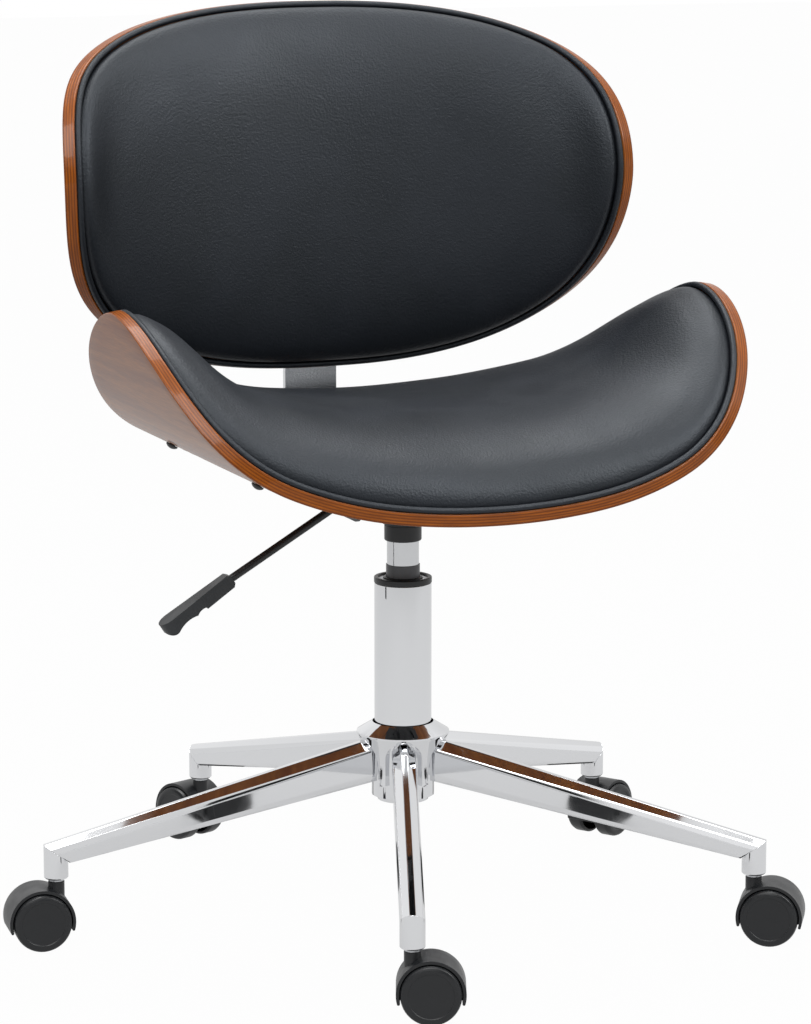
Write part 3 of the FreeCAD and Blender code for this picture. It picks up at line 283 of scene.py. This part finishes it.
def set_camera():
    """Long lens at the photograph's place: left of the front, looking down a little."""
    bearing, pitch, distance, height = math.radians(21.6), math.radians(10.23), 3.3944, 0.9717
    camera = bpy.data.objects.new("Camera", bpy.data.cameras.new("Camera"))
    bpy.context.scene.collection.objects.link(camera)
    camera.location = (-distance * math.sin(bearing), -distance * math.cos(bearing), height)
    camera.rotation_euler = (math.pi / 2 - pitch, 0, -bearing)
    camera.data.lens = 139.45
    camera.data.sensor_width = 36.0
    camera.data.shift_x = 0.0025
    bpy.context.scene.camera = camera


def linear(code, alpha=1.0):
    """Linear colour from an sRGB hex code."""
    parts = [int(code[i:i + 2], 16) / 255 for i in (1, 3, 5)]
    return [part / 12.92 if part <= 0.04045 else ((part + 0.055) / 1.055) ** 2.4 for part in parts] + [alpha]


def add(tree, kind, inputs=None, **settings):
    """Node with its settings, and with each input set to a value or linked to a socket."""
    node = tree.nodes.new(kind)
    for name, value in settings.items():
        setattr(node, name, value)
    for name, value in (inputs or {}).items():
        if isinstance(value, bpy.types.NodeSocket):
            tree.links.new(value, node.inputs[name])
        else:
            node.inputs[name].default_value = value
    return node


def compute(tree, operation, *values):
    """Result of a math node on values or sockets."""
    return add(tree, "ShaderNodeMath", dict(enumerate(values)), operation=operation).outputs[0]


def set_world():
    """Plain studio: soft light on the object, white to the camera, and pale upright panels in reflections."""
    world = bpy.data.worlds.new("Studio")
    bpy.context.scene.world = world
    world.use_nodes = True
    tree = world.node_tree
    tree.nodes.clear()
    path = add(tree, "ShaderNodeLightPath")
    camera_ray = path.outputs["Is Camera Ray"]
    seen = compute(tree, "MAXIMUM", camera_ray, path.outputs["Is Glossy Ray"])
    seen = compute(tree, "MAXIMUM", seen, path.outputs["Is Transmission Ray"])
    place = add(tree, "ShaderNodeSeparateXYZ", {0: add(tree, "ShaderNodeTexCoord").outputs["Generated"]})
    bearing = compute(tree, "ARCTAN2", place.outputs[1], place.outputs[0])
    wave = compute(tree, "SINE", compute(tree, "MULTIPLY", bearing, 5.0))
    panels = compute(tree, "MULTIPLY_ADD", wave, 0.08, 0.86)
    strength = compute(tree, "MAXIMUM", panels, camera_ray)
    white = add(tree, "ShaderNodeBackground", {"Color": (1, 1, 1, 1), "Strength": strength})
    soft = add(tree, "ShaderNodeBackground", {"Color": (0.96, 0.98, 1, 1), "Strength": 0.4})
    mixed = add(tree, "ShaderNodeMixShader", {0: seen, 1: soft.outputs[0], 2: white.outputs[0]})
    add(tree, "ShaderNodeOutputWorld", {"Surface": mixed.outputs[0]})


def add_light(name, place, target, size, power, glossy):
    """Soft square lamp at a place, facing a target."""
    lamp = bpy.data.lights.new(name, "AREA")
    lamp.shape = "SQUARE"
    lamp.size = size
    lamp.energy = power
    thing = bpy.data.objects.new(name, lamp)
    bpy.context.scene.collection.objects.link(thing)
    thing.visible_glossy = glossy
    thing.location = place
    aim = mathutils.Vector(target) - mathutils.Vector(place)
    thing.rotation_euler = aim.to_track_quat("-Z", "Y").to_euler()
    return thing


def set_floor():
    """Pale floor that keeps the chair's soft shadow and otherwise looks white."""
    material = bpy.data.materials.new("StudioFloor")
    material.use_nodes = True
    tree = material.node_tree
    tree.nodes.clear()
    path = add(tree, "ShaderNodeLightPath")
    dim = compute(tree, "MULTIPLY", path.outputs["Is Glossy Ray"], 0.6)
    bright = compute(tree, "MULTIPLY", path.outputs["Is Camera Ray"], 0.98)
    share = compute(tree, "MAXIMUM", bright, dim)
    paint = add(tree, "ShaderNodeBsdfDiffuse", {"Color": (0.38, 0.38, 0.38, 1)})
    glow = add(tree, "ShaderNodeEmission", {"Color": (1, 1, 1, 1), "Strength": 1.0})
    mixed = add(tree, "ShaderNodeMixShader", {0: share, 1: paint.outputs[0], 2: glow.outputs[0]})
    add(tree, "ShaderNodeOutputMaterial", {"Surface": mixed.outputs[0]})
    span = 14.0
    corner = np.array([-span, span])
    x, y = np.meshgrid(corner, corner, indexing="ij")
    floor = surface("studio_floor", np.stack([x, y, np.zeros_like(x)], axis=-1), flip=True)
    floor.data.materials.append(material)


def set_flag():
    """Dark band across the studio's front, which only glossy surfaces show, as stripes on polished metal."""
    material, tree, shader = new_material("StudioFlagCloth", linear("#0c0c0d"), 0.9)
    angle = np.radians(np.linspace(-205, -15, 60))
    radius, heights = 5.0, np.array([1.15, 2.5])
    line = np.stack([radius * np.cos(angle), radius * np.sin(angle)], axis=-1)
    rows = [np.concatenate([line, np.full((len(line), 1), height)], axis=1) for height in heights]
    flag = surface("studio_flag", np.stack(rows))
    flag.data.materials.append(material)
    flag.visible_camera = flag.visible_diffuse = flag.visible_transmission = flag.visible_shadow = False


bpy.context.scene.view_settings.view_transform = "Standard"
set_camera()
set_world()
add_light("KeyLight", (-1.5, -2.2, 3.3), (0, 0, 0.45), 2.0, 70.0, True)
add_light("FillLight", (2.6, -1.6, 2.0), (0, 0, 0.45), 2.0, 25.0, False)
add_light("TopLight", (0.2, 0.8, 3.3), (0, 0, 0.5), 2.0, 60.0, True)
add_light("GlossLight", (2.3, -2.2, 3.0), (0, 0, 0.6), 2.0, 90.0, True).visible_diffuse = False
set_floor()


# ---------------------------------------------------------------- materials

def per(size):
    """Texture scale for a pattern whose grain is that many mm."""
    return 1 / (size * MM)


def new_material(name, base, roughness, metallic=0.0, **sockets):
    """Material with a Principled shader, and the shader."""
    material = bpy.data.materials.new(name)
    material.use_nodes = True
    tree = material.node_tree
    tree.nodes.clear()
    inputs = {"Base Color": base, "Roughness": roughness, "Metallic": metallic}
    inputs.update({key.replace("_", " "): value for key, value in sockets.items()})
    shader = add(tree, "ShaderNodeBsdfPrincipled", inputs)
    add(tree, "ShaderNodeOutputMaterial", {"Surface": shader.outputs[0]})
    return material, tree, shader


def spread_out(tree, value, low, high, new_low=0.0, new_high=1.0):
    """A value mapped from one range to another."""
    return add(tree, "ShaderNodeMapRange", {"Value": value, "From Min": low, "From Max": high,
                                            "To Min": new_low, "To Max": new_high}).outputs[0]


def vary(tree, coordinates, size, low, high, detail=3.0, centre=(0.4, 0.6)):
    """A value that wanders between low and high over patches of a size in mm."""
    noise = add(tree, "ShaderNodeTexNoise", {"Vector": coordinates, "Scale": per(size), "Detail": detail})
    return spread_out(tree, noise.outputs[0], *centre, low, high)


def blend_colours(tree, factor, first, second):
    """Colour between two, which may be sockets or values."""
    mix = add(tree, "ShaderNodeMix", data_type="RGBA")
    for socket, value in ((mix.inputs[0], factor), (mix.inputs[6], first), (mix.inputs[7], second)):
        if isinstance(value, bpy.types.NodeSocket):
            tree.links.new(value, socket)
        else:
            socket.default_value = value
    return mix.outputs[2]


def leather_cover():
    """Black synthetic leather, embossed and calendered: small pebbles, a satin top coat, faint clouds."""
    material, tree, shader = new_material("EmbossedSyntheticLeather", linear("#191b1f"), 0.46,
                                          Specular_IOR_Level=0.45, Specular_Tint=(0.86, 0.93, 1.0, 1.0))
    place = add(tree, "ShaderNodeTexCoord").outputs["Object"]
    pebble = add(tree, "ShaderNodeTexVoronoi", {"Vector": place, "Scale": per(2.0)}, feature="SMOOTH_F1")
    pore = add(tree, "ShaderNodeTexNoise", {"Vector": place, "Scale": per(1.0), "Detail": 2.0})
    height = compute(tree, "ADD", pebble.outputs["Distance"], pore.outputs[0])
    grain = add(tree, "ShaderNodeBump", {"Height": height, "Strength": 0.5, "Distance": 0.5 * MM})
    tree.links.new(grain.outputs[0], shader.inputs["Normal"])
    tree.links.new(vary(tree, place, 60.0, 0.44, 0.5), shader.inputs["Roughness"])
    cloud = vary(tree, place, 90.0, 0.0, 1.0)
    colour = blend_colours(tree, cloud, linear("#14171c"), linear("#191c22"))
    tree.links.new(colour, shader.inputs["Base Color"])
    return material


def walnut_ply():
    """Walnut-faced beech ply under gloss lacquer: a figured face, and fine parallel plies on the cut edge."""
    material, tree, shader = new_material("LacqueredWalnutPly", linear("#8a4a1e"), 0.35,
                                          Specular_IOR_Level=0.2, Coat_Weight=0.25, Coat_Roughness=0.06)
    flat = add(tree, "ShaderNodeUVMap", uv_map="Surface").outputs[0]
    depth = add(tree, "ShaderNodeAttribute", attribute_name="depth").outputs["Fac"]
    cut = add(tree, "ShaderNodeAttribute", attribute_name="cut").outputs["Fac"]
    along = add(tree, "ShaderNodeMapping", {"Vector": flat, "Scale": (1.0, 0.06, 1.0)}).outputs[0]
    figure = add(tree, "ShaderNodeTexNoise", {"Vector": along, "Scale": per(14.0), "Detail": 4.0,
                                              "Roughness": 0.6, "Distortion": 0.6})
    fibre = add(tree, "ShaderNodeTexNoise", {"Vector": along, "Scale": per(1.2), "Detail": 2.0})
    tone = spread_out(tree, figure.outputs[0], 0.35, 0.65)
    face = blend_colours(tree, tone, linear("#88481a"), linear("#ae6a2e"))
    streak = spread_out(tree, fibre.outputs[0], 0.3, 0.7, 0.0, 0.35)
    face = blend_colours(tree, streak, face, linear("#5a2b0e"))
    layer = compute(tree, "MULTIPLY", depth, 9.0)
    wobble = compute(tree, "ADD", vary(tree, along, 30.0, -0.12, 0.12), layer)
    band = spread_out(tree, compute(tree, "PINGPONG", wobble, 1.0), 0.3, 0.75)
    edge = blend_colours(tree, band, linear("#ad5c0f"), linear("#7e3e08"))
    edge_fibre = vary(tree, along, 2.0, 0.0, 0.4)
    edge = blend_colours(tree, edge_fibre, edge, linear("#5e2a0a"))
    tree.links.new(blend_colours(tree, cut, face, edge), shader.inputs["Base Color"])
    pores = add(tree, "ShaderNodeBump", {"Height": fibre.outputs[0], "Strength": 0.05, "Distance": 0.2 * MM})
    tree.links.new(pores.outputs[0], shader.inputs["Normal"])
    return material


def metal(name, base, roughness, spread, size, metallic=1.0):
    """Metal or its coating, whose roughness wanders a little over patches of a size in mm."""
    material, tree, shader = new_material(name, linear(base), roughness, metallic)
    place = add(tree, "ShaderNodeTexCoord").outputs["Object"]
    value = vary(tree, place, size, roughness - spread, roughness + spread)
    tree.links.new(value, shader.inputs["Roughness"])
    return material


def plastic(name, base, roughness, strength=0.12):
    """Moulded plastic with a fine spark-eroded grain."""
    material, tree, shader = new_material(name, linear(base), roughness)
    place = add(tree, "ShaderNodeTexCoord").outputs["Object"]
    grain = add(tree, "ShaderNodeTexNoise", {"Vector": place, "Scale": per(0.9), "Detail": 3.0})
    height = {"Height": grain.outputs[0], "Strength": strength, "Distance": 0.2 * MM}
    tree.links.new(add(tree, "ShaderNodeBump", height).outputs[0], shader.inputs["Normal"])
    value = vary(tree, place, 25.0, roughness - 0.05, roughness + 0.05)
    tree.links.new(value, shader.inputs["Roughness"])
    return material


set_flag()
leather = leather_cover()
walnut = walnut_ply()
chrome = metal("PolishedChromePlate", "#e6e7e9", 0.05, 0.02, 40.0)
ground_chrome = metal("GroundHardChrome", "#d5d6d8", 0.14, 0.03, 8.0)
zinc = metal("BrightZincPlate", "#b9bbbe", 0.28, 0.06, 6.0)
black_steel = metal("BlackPowderCoat", "#1c1d1f", 0.4, 0.02, 12.0, metallic=0.0)
black_plastic = plastic("MouldedBlackPolypropylene", "#1c1d1f", 0.36)
grey_plastic = plastic("MouldedGreyAcetal", "#5c5d60", 0.35, strength=0.05)
grip_plastic = plastic("GrainedGripNylon", "#2a2d30", 0.42)
caster_plastic = plastic("GrainedCasterNylon", "#16181b", 0.36)
rubber = plastic("BumpRubber", "#202020", 0.7)
slots = {"black_leather": leather, "walnut_ply": walnut, "chrome": chrome, "cylinder_chrome": ground_chrome,
         "plated_steel": zinc, "black_steel": black_steel, "black_plastic": black_plastic,
         "grey_plastic": grey_plastic, "grip_plastic": grip_plastic, "caster_plastic": caster_plastic,
         "bump_rubber": rubber}
node_slots = {part["node"]: part["material_slot"] for part in frame["record"]["subparts"]}
node_bodies = {node: body for body, nodes in frame["record"]["behaviour"]["bodies"].items() for node in nodes}
for node_name, cad_node in cad_nodes.items():
    cad_node.data.materials.clear()
    cad_node.data.materials.append(slots[node_slots[node_name]])


def eased_copy(node, bevel, angle=32.0):
    """Copy of a CAD node that replaces it: merged, smooth where round, with a small bevel on sharp edges."""
    import bmesh
    mesh = cad_nodes[node].data.copy()
    build = bmesh.new()
    build.from_mesh(mesh)
    bmesh.ops.remove_doubles(build, verts=build.verts, dist=2e-6)
    bmesh.ops.dissolve_limit(build, angle_limit=math.radians(0.5), verts=build.verts, edges=build.edges)
    build.to_mesh(mesh)
    build.free()
    mesh.name = node + "_eased"
    mesh.polygons.foreach_set("use_smooth", np.ones(len(mesh.polygons), bool))
    mesh.set_sharp_from_angle(angle=math.radians(angle))
    thing = bpy.data.objects.new(node + "_eased", mesh)
    bpy.context.scene.collection.objects.link(thing)
    if bevel:
        rim = thing.modifiers.new("EasedEdges", "BEVEL")
        rim.width = bevel * MM
        rim.segments = 2
        rim.limit_method = "ANGLE"
        rim.angle_limit = math.radians(angle)
        rim.harden_normals = True
    return finish(thing, slots[node_slots[node]], node_bodies[node], (node,))


# ---------------------------------------------------------------- ply shells

def make_shell(name, sheet, outline, ply, node):
    """Closed ply panel. The columns run round the outline. The rows go from the outer face's middle, as
    shares of the outline, over the rounded cut edge, and back to the inner face's middle."""
    turn = np.linspace(0, 2 * math.pi, 360, endpoint=False)
    middle = np.array([0.0, outline.middle])
    quarter = np.linspace(0, math.pi / 2, 5)
    round_inset, round_height = edge_round * (1 - np.sin(quarter)), edge_round * (1 - np.cos(quarter))
    wall = np.linspace(edge_round, ply - edge_round, 9)[1:-1]
    inset = np.concatenate([round_inset, np.zeros_like(wall), round_inset[::-1]])
    height = np.concatenate([round_height, wall, ply - round_height[::-1]])
    ring = np.stack([outline.at(turn, value) for value in inset])
    share = np.linspace(0.02, 1, 22, endpoint=False)[:, None, None]
    outer = middle + (ring[0] - middle) * share
    inner = middle + (ring[-1] - middle) * share[::-1]
    flat = np.concatenate([outer, ring, inner])
    heights = np.concatenate([np.zeros(len(share)), height, np.full(len(share), ply)])
    heights = np.repeat(heights[:, None], len(turn), axis=1)
    cut = np.zeros_like(heights)
    cut[len(share) + 2:len(share) + len(inset) - 2] = 1.0
    step = np.linalg.norm(ring[6] - np.roll(ring[6], 1, axis=0), axis=1)
    run = np.broadcast_to(np.cumsum(step), heights.shape)
    uv = np.where(cut[..., None] > 0, np.stack([heights, run], axis=-1), flat)
    points = sheet.point(flat[..., 0], flat[..., 1], heights)
    thing = surface(name, points, wrap_columns=True, caps=True, uv=uv,
                    layers={"depth": heights / ply, "cut": cut})
    return finish(thing, walnut, "upper", (node,))


make_shell("seat_ply_panel", seat_sheet, seat_outline, seat_ply, "seat_shell")
make_shell("back_ply_panel", back_sheet, back_outline, back_ply, "back_shell")


# ---------------------------------------------------------------- welts and cushions

def make_welt(name, sheet, outline, ply, node):
    """Piping: a round cord whose middle follows the outline, drawn in, just over the ply."""
    turn = np.linspace(0, 2 * math.pi, 540, endpoint=False)
    flat = outline.at(turn, welt_inset)
    middle = sheet.point(flat[:, 0], flat[:, 1], ply + welt_radius * 0.92)
    course = unit(np.roll(middle, -1, axis=0) - np.roll(middle, 1, axis=0))
    normal = sheet.normal(flat[:, 0])
    inward = unit(np.cross(course, normal))
    upward = np.cross(inward, course)
    angle = np.linspace(0, 2 * math.pi, 14, endpoint=False)[:, None]
    ring = np.cos(angle)[None] * inward[:, None] + np.sin(angle)[None] * upward[:, None]
    thing = surface(name, middle[:, None] + ring * welt_radius, wrap_rows=True, wrap_columns=True, flip=True)
    return finish(thing, leather, "upper", (node,))


def smooth_step(value):
    """Eases from 0 to 1."""
    value = np.clip(value, 0, 1)
    return value * value * (3 - 2 * value)


def cushion_grid(outline, foot, edge, crown, ease, rows=80, columns=480):
    """Flat places and heights of a cushion. Its foot runs out over the ply, and its side leaves the foot and
    bulges to the rim. From there it rises as edge * sqrt(1 - exp(-distance / ease)), with the distance
    inwards from the rim, and crown * (1 - share ** 2) lies on top, where share is 1 at the rim."""
    turn = np.linspace(0, 2 * math.pi, columns, endpoint=False)
    side_inset = np.array([6.0, 2.0, 0.9, 0.4, 0.1, 0.0]) * MM
    side_height = np.array([0.4, 0.5, 1.8, 3.8, 6.2, 8.0]) * MM
    rings = np.stack([outline.at(turn, pad_inset + value) for value in side_inset])
    middle = np.array([0.0, outline.middle])
    arm = rings[-1] - middle
    share = 1 - np.linspace(0, 0.995, rows)[1:, None] ** 2.2
    course = unit(np.roll(rings[-1], -1, axis=0) - np.roll(rings[-1], 1, axis=0))
    square = np.abs(arm[:, 0] * course[:, 1] - arm[:, 1] * course[:, 0])
    rise = np.sqrt(1 - np.exp(-(1 - share) * square / ease))
    top = side_height[-1] + (edge - side_height[-1]) * rise + crown * (1 - share ** 2)
    under = np.linspace(0.01, 1, 24)[:-1, None, None] * (rings[0] - middle)
    flat = np.concatenate([middle + under, rings, middle + arm * share[..., None]])
    height = np.concatenate([np.full(len(under), side_height[0]), side_height])
    return flat, np.concatenate([np.repeat(height[:, None], columns, axis=1), top]) + foot


def cloth_swell(points, faces, pressure, cap, voxel):
    """Movement of a closed cover when it is inflated. A remeshed copy is simulated as cloth for 20 frames,
    and how far its vertices went, up to a cap, is handed back with where they started."""
    mesh = bpy.data.meshes.new("cover_test")
    mesh.from_pydata(points.tolist(), [], faces)
    proxy = bpy.data.objects.new("cover_test", mesh)
    bpy.context.scene.collection.objects.link(proxy)
    remesh = proxy.modifiers.new("Even", "REMESH")
    remesh.mode = "VOXEL"
    remesh.voxel_size = voxel
    bpy.context.view_layer.update()
    even = bpy.data.meshes.new_from_object(proxy.evaluated_get(bpy.context.evaluated_depsgraph_get()))
    proxy.modifiers.clear()
    proxy.data = even
    start = np.zeros(len(even.vertices) * 3)
    even.vertices.foreach_get("co", start)
    start = start.reshape(-1, 3)
    cloth = proxy.modifiers.new("Cover", "CLOTH")
    cloth.settings.use_pressure = True
    cloth.settings.uniform_pressure_force = pressure
    cloth.settings.effector_weights.gravity = 0
    cloth.settings.tension_stiffness = 30
    cloth.settings.compression_stiffness = 30
    cloth.settings.quality = 5
    cloth.point_cache.frame_end = 20
    for number in range(1, 21):
        bpy.context.scene.frame_set(number)
    swollen = bpy.data.meshes.new_from_object(proxy.evaluated_get(bpy.context.evaluated_depsgraph_get()))
    end = np.zeros(len(swollen.vertices) * 3)
    swollen.vertices.foreach_get("co", end)
    bpy.context.scene.frame_set(1)
    bpy.data.objects.remove(proxy)
    move = end.reshape(-1, 3) - start
    length = np.linalg.norm(move, axis=1, keepdims=True)
    return start, move * np.minimum(1, cap / np.maximum(length, 1e-9))


def spread_movement(points, start, move, reach):
    """Movement at each point: the mean of the nearby movements, weighted by a bell curve of the distance."""
    shifts = []
    for part in np.array_split(points, max(1, len(points) // 400)):
        square = ((part[:, None] - start[None]) ** 2).sum(axis=2)
        weight = np.exp(-square / (2 * reach ** 2)) + 1e-12
        shifts.append(weight @ move / weight.sum(axis=1, keepdims=True))
    return np.concatenate(shifts)


def make_cushion(name, sheet, outline, ply, sizes, node):
    """Padded cover: the cushion's grid laid on the bent sheet, and swollen as the cloth test says."""
    flat, height = cushion_grid(outline, ply, *sizes)
    points = sheet.point(flat[..., 0], flat[..., 1], height)
    rows, columns = points.shape[:2]
    coarse = points[::3, ::6]
    faces = grid_faces(*coarse.shape[:2], False, True)[:, ::-1].tolist()
    count = coarse.shape[0] * coarse.shape[1]
    faces.append(list(range(coarse.shape[1])))
    faces.append(list(range(count - 1, count - 1 - coarse.shape[1], -1)))
    start, move = cloth_swell(coarse.reshape(-1, 3), faces, 4.0, 5.0 * MM, 6.0 * MM)
    hold = smooth_step((height - ply - 8.0 * MM) / (24.0 * MM))[..., None]
    shift = spread_movement(points.reshape(-1, 3), start, move, 22.0 * MM)
    points = points + shift.reshape(points.shape) * hold
    thing = surface(name, points, wrap_columns=True, caps=True)
    finish(thing, leather, "upper", (node,))
    return thing


make_welt("seat_piping", seat_sheet, seat_outline, seat_ply, "seat_welt")
make_welt("back_piping", back_sheet, back_outline, back_ply, "back_welt")
make_cushion("seat_cushion", seat_sheet, seat_outline, seat_ply, seat_cushion_sizes, "seat_pad")
make_cushion("back_cushion", back_sheet, back_outline, back_ply, back_cushion_sizes, "back_pad")


# ---------------------------------------------------------------- column

def make_ring(name, profile, node, columns=72, radius=0.4):
    """Ring about the column's axis from a closed loop of (radius, height) corners in mm, each rounded."""
    points = lathe(rounded(profile, radius, closed=True) * MM, columns)
    thing = surface(name, points, wrap_rows=True, wrap_columns=True)
    slot = node_slots[node]
    return finish(thing, slots[slot], node_bodies[node], (node,))


make_ring("column_tube", [(4.7, 103.5), (22.4, 103.5), (25, 160), (25, 297), (23.2, 297), (23.2, 160),
                          (20.7, 106.5), (4.7, 106.5)], "outer_tube")
make_ring("column_top_cap", [(14.9, 288.1), (23.1, 288.1), (23.1, 297.1), (25.3, 297.1), (25.3, 302.5),
                             (21.6, 302.5), (21.6, 299.9), (17.1, 299.9), (17.1, 302.5), (14.9, 302.5)],
          "column_cap", radius=1.0)
make_ring("cap_inner_washer", [(17.2, 300), (21.5, 300), (21.5, 301), (17.2, 301)], "cap_washer", radius=0.3)
make_ring("cylinder_guide", [(14.1, 210), (23.1, 210), (23.1, 288), (14.8, 288), (14.8, 313.5),
                             (14.1, 313.5)], "guide_bush", radius=0.5)
make_ring("lift_cylinder", [(12.5, 146), (14, 146), (14, 334.5), (13, 358), (3.1, 358), (3.1, 350), (11, 350),
                            (12.5, 348.5)], "gas_cylinder")
eased_copy("taper_cup", 0.6)
eased_copy("base_hub", 0.7)


# ---------------------------------------------------------------- base

def leg_points():
    """Leg along +X as sections across it. The top follows the folded sheet: a flat ridge, a slope, a steeper
    slope and an upright side, with the folds eased. Towards the tip the width follows the circle round the
    stem's axis, and the lower edge follows the slanting seam."""
    past_stem = socket_radius * np.sin(np.linspace(0, nose_turn, 26))
    x = np.concatenate([np.linspace(leg_start, stem_circle_radius, 60)[:-1], stem_circle_radius + past_stem])
    share = (x - leg_root_place) / (stem_circle_radius - leg_root_place)
    half = (leg_root_width + (leg_tip_width - leg_root_width) * share) / 2
    top = leg_root_top + (leg_tip_top - leg_root_top) * share
    height = leg_root_height + (leg_tip_height - leg_root_height) * share
    nose = np.sqrt(np.clip(socket_radius ** 2 - np.clip(x - stem_circle_radius, 0, None) ** 2, 0, None))
    y = np.sin(np.linspace(-math.pi / 2, math.pi / 2, 61)) * np.minimum(half, nose)[:, None]
    steps = 200
    knots = np.linspace(0, 1, steps + 1)
    drop = np.interp(knots, leg_fold_places, leg_fold_drops)
    window = np.hanning(2 * int(leg_fold_ease * steps * 1.6) + 3)
    margin = len(window) // 2
    beyond = drop[-1] + (drop[-1] - drop[-2]) * np.arange(1, margin + 1)
    eased = np.convolve(np.concatenate([drop[margin:0:-1], drop, beyond]), window / window.sum(), "valid")
    z = top[:, None] - np.interp(np.abs(y) / half[:, None], knots, eased) * height[:, None]
    seam = seam_high_z - (stem_circle_radius + socket_radius - x) / (2 * socket_radius) * seam_drop
    bottom = np.minimum(np.maximum(top - height, seam), z[:, 0] - 0.2 * MM)
    fall = np.array([0.0, 0.25, 0.5, 0.75, 0.92])[None]
    lean = 1 - leg_side_lean * (1 - fall) * (x[:, None] < stem_circle_radius)
    wall_z = bottom[:, None] + (z[:, :1] - bottom[:, None]) * fall
    left = np.stack([np.broadcast_to(x[:, None], wall_z.shape), y[:, :1] * lean, wall_z], axis=-1)
    crest = np.stack([np.broadcast_to(x[:, None], z.shape), y, z], axis=-1)
    right = left[:, ::-1] * np.array([1.0, -1.0, 1.0])
    return np.concatenate([left, crest, right], axis=1)


def socket_points():
    """Post under a leg's end, about the stem's axis with the hub on its -X side: a chamfered foot, and a top
    that is turned level at first and then slanted along the seam."""
    level_top = 100 * MM
    shoulder = socket_foot_z + socket_foot_chamfer
    loop = [(socket_bore, 70 * MM), (socket_bore, socket_foot_z),
            (socket_radius - socket_foot_chamfer, socket_foot_z), (socket_radius, shoulder),
            (socket_radius, level_top), (socket_bore, level_top)]
    points = lathe(rounded(loop, 0.3 * MM), 64)
    seam = seam_high_z - (socket_radius - points[..., 0]) / (2 * socket_radius) * seam_drop
    high = points[..., 2] > level_top - 10 * MM
    points[..., 2] = np.where(high, seam + points[..., 2] - level_top, points[..., 2])
    return points


stand_up = (0.0, 0.0, 1.0)
for leg in range(leg_count):
    bearing = math.radians(front_leg_bearing + 360 / leg_count * leg)
    number = str(leg + 1)
    thing = surface("leg_" + number, turn_about(leg_points(), stand_up, bearing), flip=True)
    wall = thing.modifiers.new("Wall", "SOLIDIFY")
    wall.thickness = leg_wall
    wall.offset = -1.0
    finish(thing, chrome, "base", ("base_leg_" + number,))
    place = np.array([math.cos(bearing), math.sin(bearing), 0]) * stem_circle_radius
    post = turn_about(socket_points(), stand_up, bearing) + place
    thing = surface("leg_socket_" + number, post, wrap_rows=True, wrap_columns=True)
    thing.data.set_sharp_from_angle(angle=math.radians(40))
    finish(thing, chrome, "base", ())
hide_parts("stem_sockets")


# ---------------------------------------------------------------- casters

def wheel_points(side):
    """Wheel as a closed loop of (radius, place) corners in mm, turned about the axle, which lies along Y."""
    loop = [(3.1, 0), (6, 0), (6, 12.2), (22.4, 12.2), (22.4, 0), (23.7, 0), (25, 1.3), (25, 11.5),
            (23.98, 13.98), (21.5, 15), (19, 15), (18.5, 14.4), (0.01, 14.4), (0.01, 12.5), (3.1, 12.5)]
    line = rounded(loop, 0.5, closed=True) * MM
    angle = np.linspace(0, 2 * math.pi, 72, endpoint=False)
    place = np.repeat((line[:, 1:] + wheel_inner_place) * side, 72, axis=1)
    points = np.stack([line[:, :1] * np.cos(angle), place, line[:, :1] * np.sin(angle)], axis=-1)
    return points + np.array([caster_trail, 0, wheel_radius])


for caster in range(leg_count):
    number = str(caster + 1)
    stem = math.radians(front_leg_bearing + 360 / leg_count * caster)
    trail = math.radians(caster_bearings[caster])
    place = np.array([math.cos(stem), math.sin(stem), 0]) * stem_circle_radius
    for side, sign in (("left", 1), ("right", -1)):
        node = "wheel_" + side + "_" + number
        points = turn_about(wheel_points(sign), stand_up, trail) + place
        thing = surface(node + "_tread", points, wrap_rows=True, wrap_columns=True, flip=sign > 0)
        finish(thing, caster_plastic, node, (node,))
    eased_copy("caster_hood_" + number, 0.8)
    eased_copy("caster_stem_" + number, 0.2)


# ---------------------------------------------------------------- bar, plates, lever and screws

bevels = {"back_bar": 0.8, "back_plate": 0.8, "seat_plate": 0.8, "lever_paddle": 1.2, "pad_screws": 0.3,
          "plate_bolts": 0.3, "bar_bolts": 0.3, "lever_bush": 0.3}
for node_name, bevel in bevels.items():
    eased_copy(node_name, bevel)


def lever_path():
    """Middle of the lever's rod: level, an arc of a fixed radius, then a straight slope."""
    start, bend = np.array([5.0, 0, 369.0]) * MM, np.array([-61.0, 0, 369.0]) * MM
    radius, slope, length = 18 * MM, math.radians(30.5), 122 * MM
    tangent = radius * math.tan(slope / 2)
    turn = np.linspace(0, slope, 12)
    first = bend + np.array([tangent, 0, 0])
    arc = first + np.stack([-np.sin(turn), 0 * turn, np.cos(turn) - 1], axis=1) * radius
    level = start + np.linspace(0, 1, 6)[:-1, None] * (first - start)
    fall = np.array([-math.cos(slope), 0, -math.sin(slope)])
    rest = arc[-1] + np.linspace(0, 1, 10)[1:, None] * fall * (length - tangent)
    return np.concatenate([level, arc, rest])


rod = surface("lever_round_rod", tube(lever_path(), 3.5 * MM, 24), wrap_columns=True, caps=True)
finish(rod, black_steel, "lever", ("lever_rod",))
